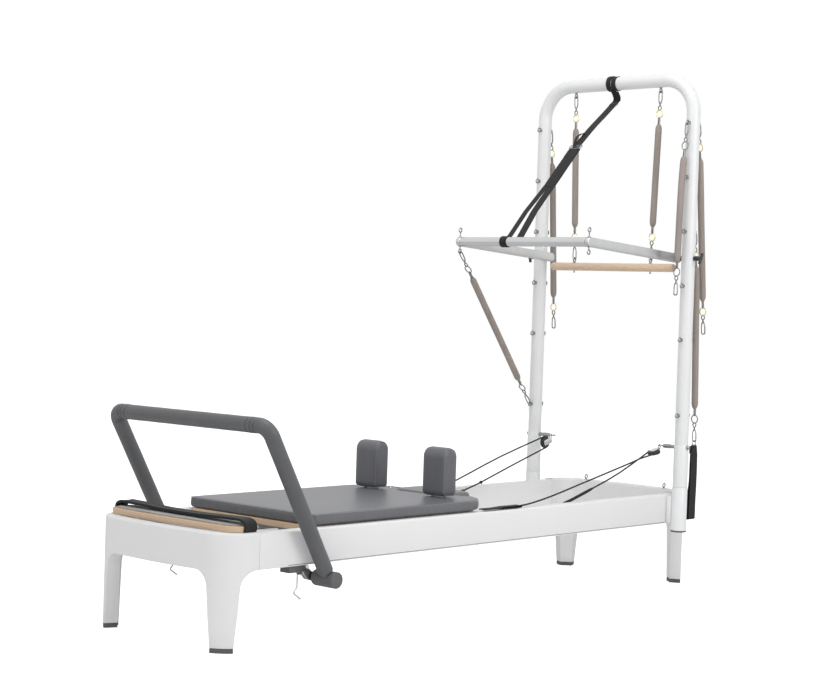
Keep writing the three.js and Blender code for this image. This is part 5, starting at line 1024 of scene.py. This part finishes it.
near_end, far_end, inward = line[15], line[16], sideways * 0.001
near_line = [line[0] + (line[1] - line[0]).normalized() * 0.0255] + line[1:16] + [near_end + inward * 5.5]
far_line = [Vector((p.x, -p.y, p.z)) for p in near_line]
top_line = [near_end + inward * 6.9, *[near_end.lerp(far_end, k / 24) for k in range(1, 24)], far_end - inward * 6.9]
for name, route, slits in (("near", near_line, ()), ("far", far_line, ()), ("top", top_line, (0.012, 0.030))):
    bm = foam_grip(route, slits)
    piece(f"footbar_foam_{name}", bm, footbar_grey, "footbar", "footbar_foam", f"footbar_grip_{name}", soft=40)


# Footbar sliders: nylon blocks in the T-slot under each rail, with curved chromed links that
# carry the footbar's pins, and a bent wire lever on each to free it.
slider_black = finish("dark slider nylon", (0.10, 0.10, 0.105), 0.45, (30, 0.1), (1000, 0.15))
chrome = finish("polished chrome", (0.60, 0.61, 0.62), 0.14, (20, 0.06), (700, 0.02), 1.0, sheen=0.04)
lever_x, lever_z = -863, 210.7
for name, side in two_sides:
    dressed(f"footbar_trolley_{name}", slider_black, "footbar_sliders", "trolley_plastic")
    dressed(f"footbar_link_{name}", chrome, "footbar_sliders", "link_plastic", 0.0005, 40)
    slot_y = side * 292
    shape = ((0, 0), (0, -46), (-14, -60), (15, -80))
    wire = [mm(lever_x + x, slot_y - side * 6, lever_z + z) for x, z in shape]
    bm = tube(bmesh.new(), bent(wire, 0.004, 5), 0.0027)
    boss = mm(lever_x, slot_y - side * 9, lever_z)
    turned(bm, boss, sideways * side, [(3.6, 0), (4.5, 0.8), (4.5, 5.9), (3.6, 6.6)], 24)
    node = f"release_lever_{name}"
    piece(f"{node}_wire", bm, chrome, node, "chrome_wire", node)


# Pulleys: a grooved nylon wheel between two chromed cheeks on a pin, hung by a link from the
# eye of its bolt, so that it turns to follow the rope.
groove_profile = [(8, -5.6), (21, -5.7), (22.6, -5.6), (23, -5), (22.4, -4.2), (20, -2.6), (19, -1.2), (19, 1.2),
                  (20, 2.6), (22.4, 4.2), (23, 5), (22.6, 5.6), (21, 5.7), (8, 5.6)]
link_wire, link_top, link_long, link_half = 1.8, 527.1, 24, 5.45
for name, (side, _, _) in pulleys.items():
    bm = bmesh.new()
    for way in (-1, 1):
        inner, outer = way * 6.4, way * 9.4
        outline = [Vector((p.x, 0, p.y)) + mm(27.6, min(inner, outer), 0) for p in rounded_outline(48, 22, 9, 0)]
        cheek = soften(raised(outline, mm(0, 3, 0)), 0.0006, 2)
        turned(cheek, mm(pin, outer, 0), sideways * way, [(5, -0.2), (5, 0.6), (3.6, 1.2)], 20)
        held = bpy.data.meshes.new("cheek")
        cheek.to_mesh(held)
        cheek.free()
        bm.from_mesh(held)
        bpy.data.meshes.remove(held)
    boxed(bm, (3.6, -7.4, -7), (9.6, 7.4, 7))
    turned(bm, mm(-1, 0, 0), forward, [(2, 0), (2.8, 0.8), (2.8, 5), (4, 6)], 20, up)
    bmesh.ops.transform(bm, matrix=pulley_place(name), verts=bm.verts)
    link = []
    for drop, start in ((link_wire + link_half, 0), (link_long - link_wire - link_half, pi)):
        centre = mm(pulley_x, side * pulley_y, link_top - drop)
        link += [centre + mm(link_half * cos(a), 0, link_half * sin(a)) for a in swept(start, pi, 10)]
    tube(bm, link, link_wire / 1000, sides=10, closed=True)
    piece(f"pulley_{name}_block", bm, chrome, f"pulley_block_{name}", "chrome_wire", f"pulley_block_{name}")
    bm = turned(bmesh.new(), mm(pin, 0, 0), sideways, groove_profile, 48)
    bmesh.ops.transform(bm, matrix=pulley_place(name), verts=bm.verts)
    piece(f"pulley_{name}_wheel", bm, black_knob, f"pulley_wheel_{name}", "pulley_plastic", f"pulley_wheel_{name}")


# Studio: a plain pale floor that keeps the shadow, a white surround and three large soft lamps.
# None of it belongs to the object.
white = (1, 1, 1, 1)
floor_white = bpy.data.materials.new("pale floor")
nodes, add, join = workbench(floor_white)
shader, lift = nodes["Principled BSDF"], add("Math")
put(shader, Base_Color=(0.9, 0.9, 0.9, 1), Roughness=0.9, Specular_IOR_Level=0.1, Emission_Color=white)
lift.operation = "MULTIPLY"
lift.inputs[1].default_value = 0.7
join(add("LightPath"), "Is Camera Ray", lift, 0)
join(lift, "Value", shader, "Emission Strength")
bm = bmesh.new()
bmesh.ops.create_grid(bm, x_segments=2, y_segments=2, size=9, matrix=Matrix.Translation((0, 0, -0.0006)))
floor = placed("floor", bpy.data.meshes.new("floor"))
bm.to_mesh(floor.data)
bm.free()
floor.data.materials.append(floor_white)

world = bpy.data.worlds.new("surround")
scene.world = world
nodes, add, join = workbench(world)
seen, strength = add("LightPath"), add("MapRange", To_Min=0.56, To_Max=1.0)
either, more = add("Math"), add("Math")
either.operation = more.operation = "MAXIMUM"
join(seen, "Is Camera Ray", either, 0)
join(seen, "Is Glossy Ray", either, 1)
join(either, "Value", more, 0)
join(seen, "Is Transmission Ray", more, 1)
join(more, "Value", strength, "Value")
join(strength, "Result", put(nodes["Background"], Color=white), "Strength")
for name, place, aim, size, power in (
        ("overhead softbox", (-0.7, -0.6, 4.2), (-0.2, 0, 0.4), 3.2, 62),
        ("near side softbox", (0.3, -4.5, 2.2), (0.3, 0, 0.6), 2.4, 52),
        ("foot end softbox", (-4.6, -0.8, 2.4), (0, 0, 0.5), 2.2, 22)):
    light = bpy.data.lights.new(name, "AREA")
    light.shape, light.size, light.energy = "DISK", size, power
    lamp = placed(name, light)
    lamp.location = place
    lamp.rotation_euler = (Vector(aim) - Vector(place)).to_track_quat("-Z", "Y").to_euler()
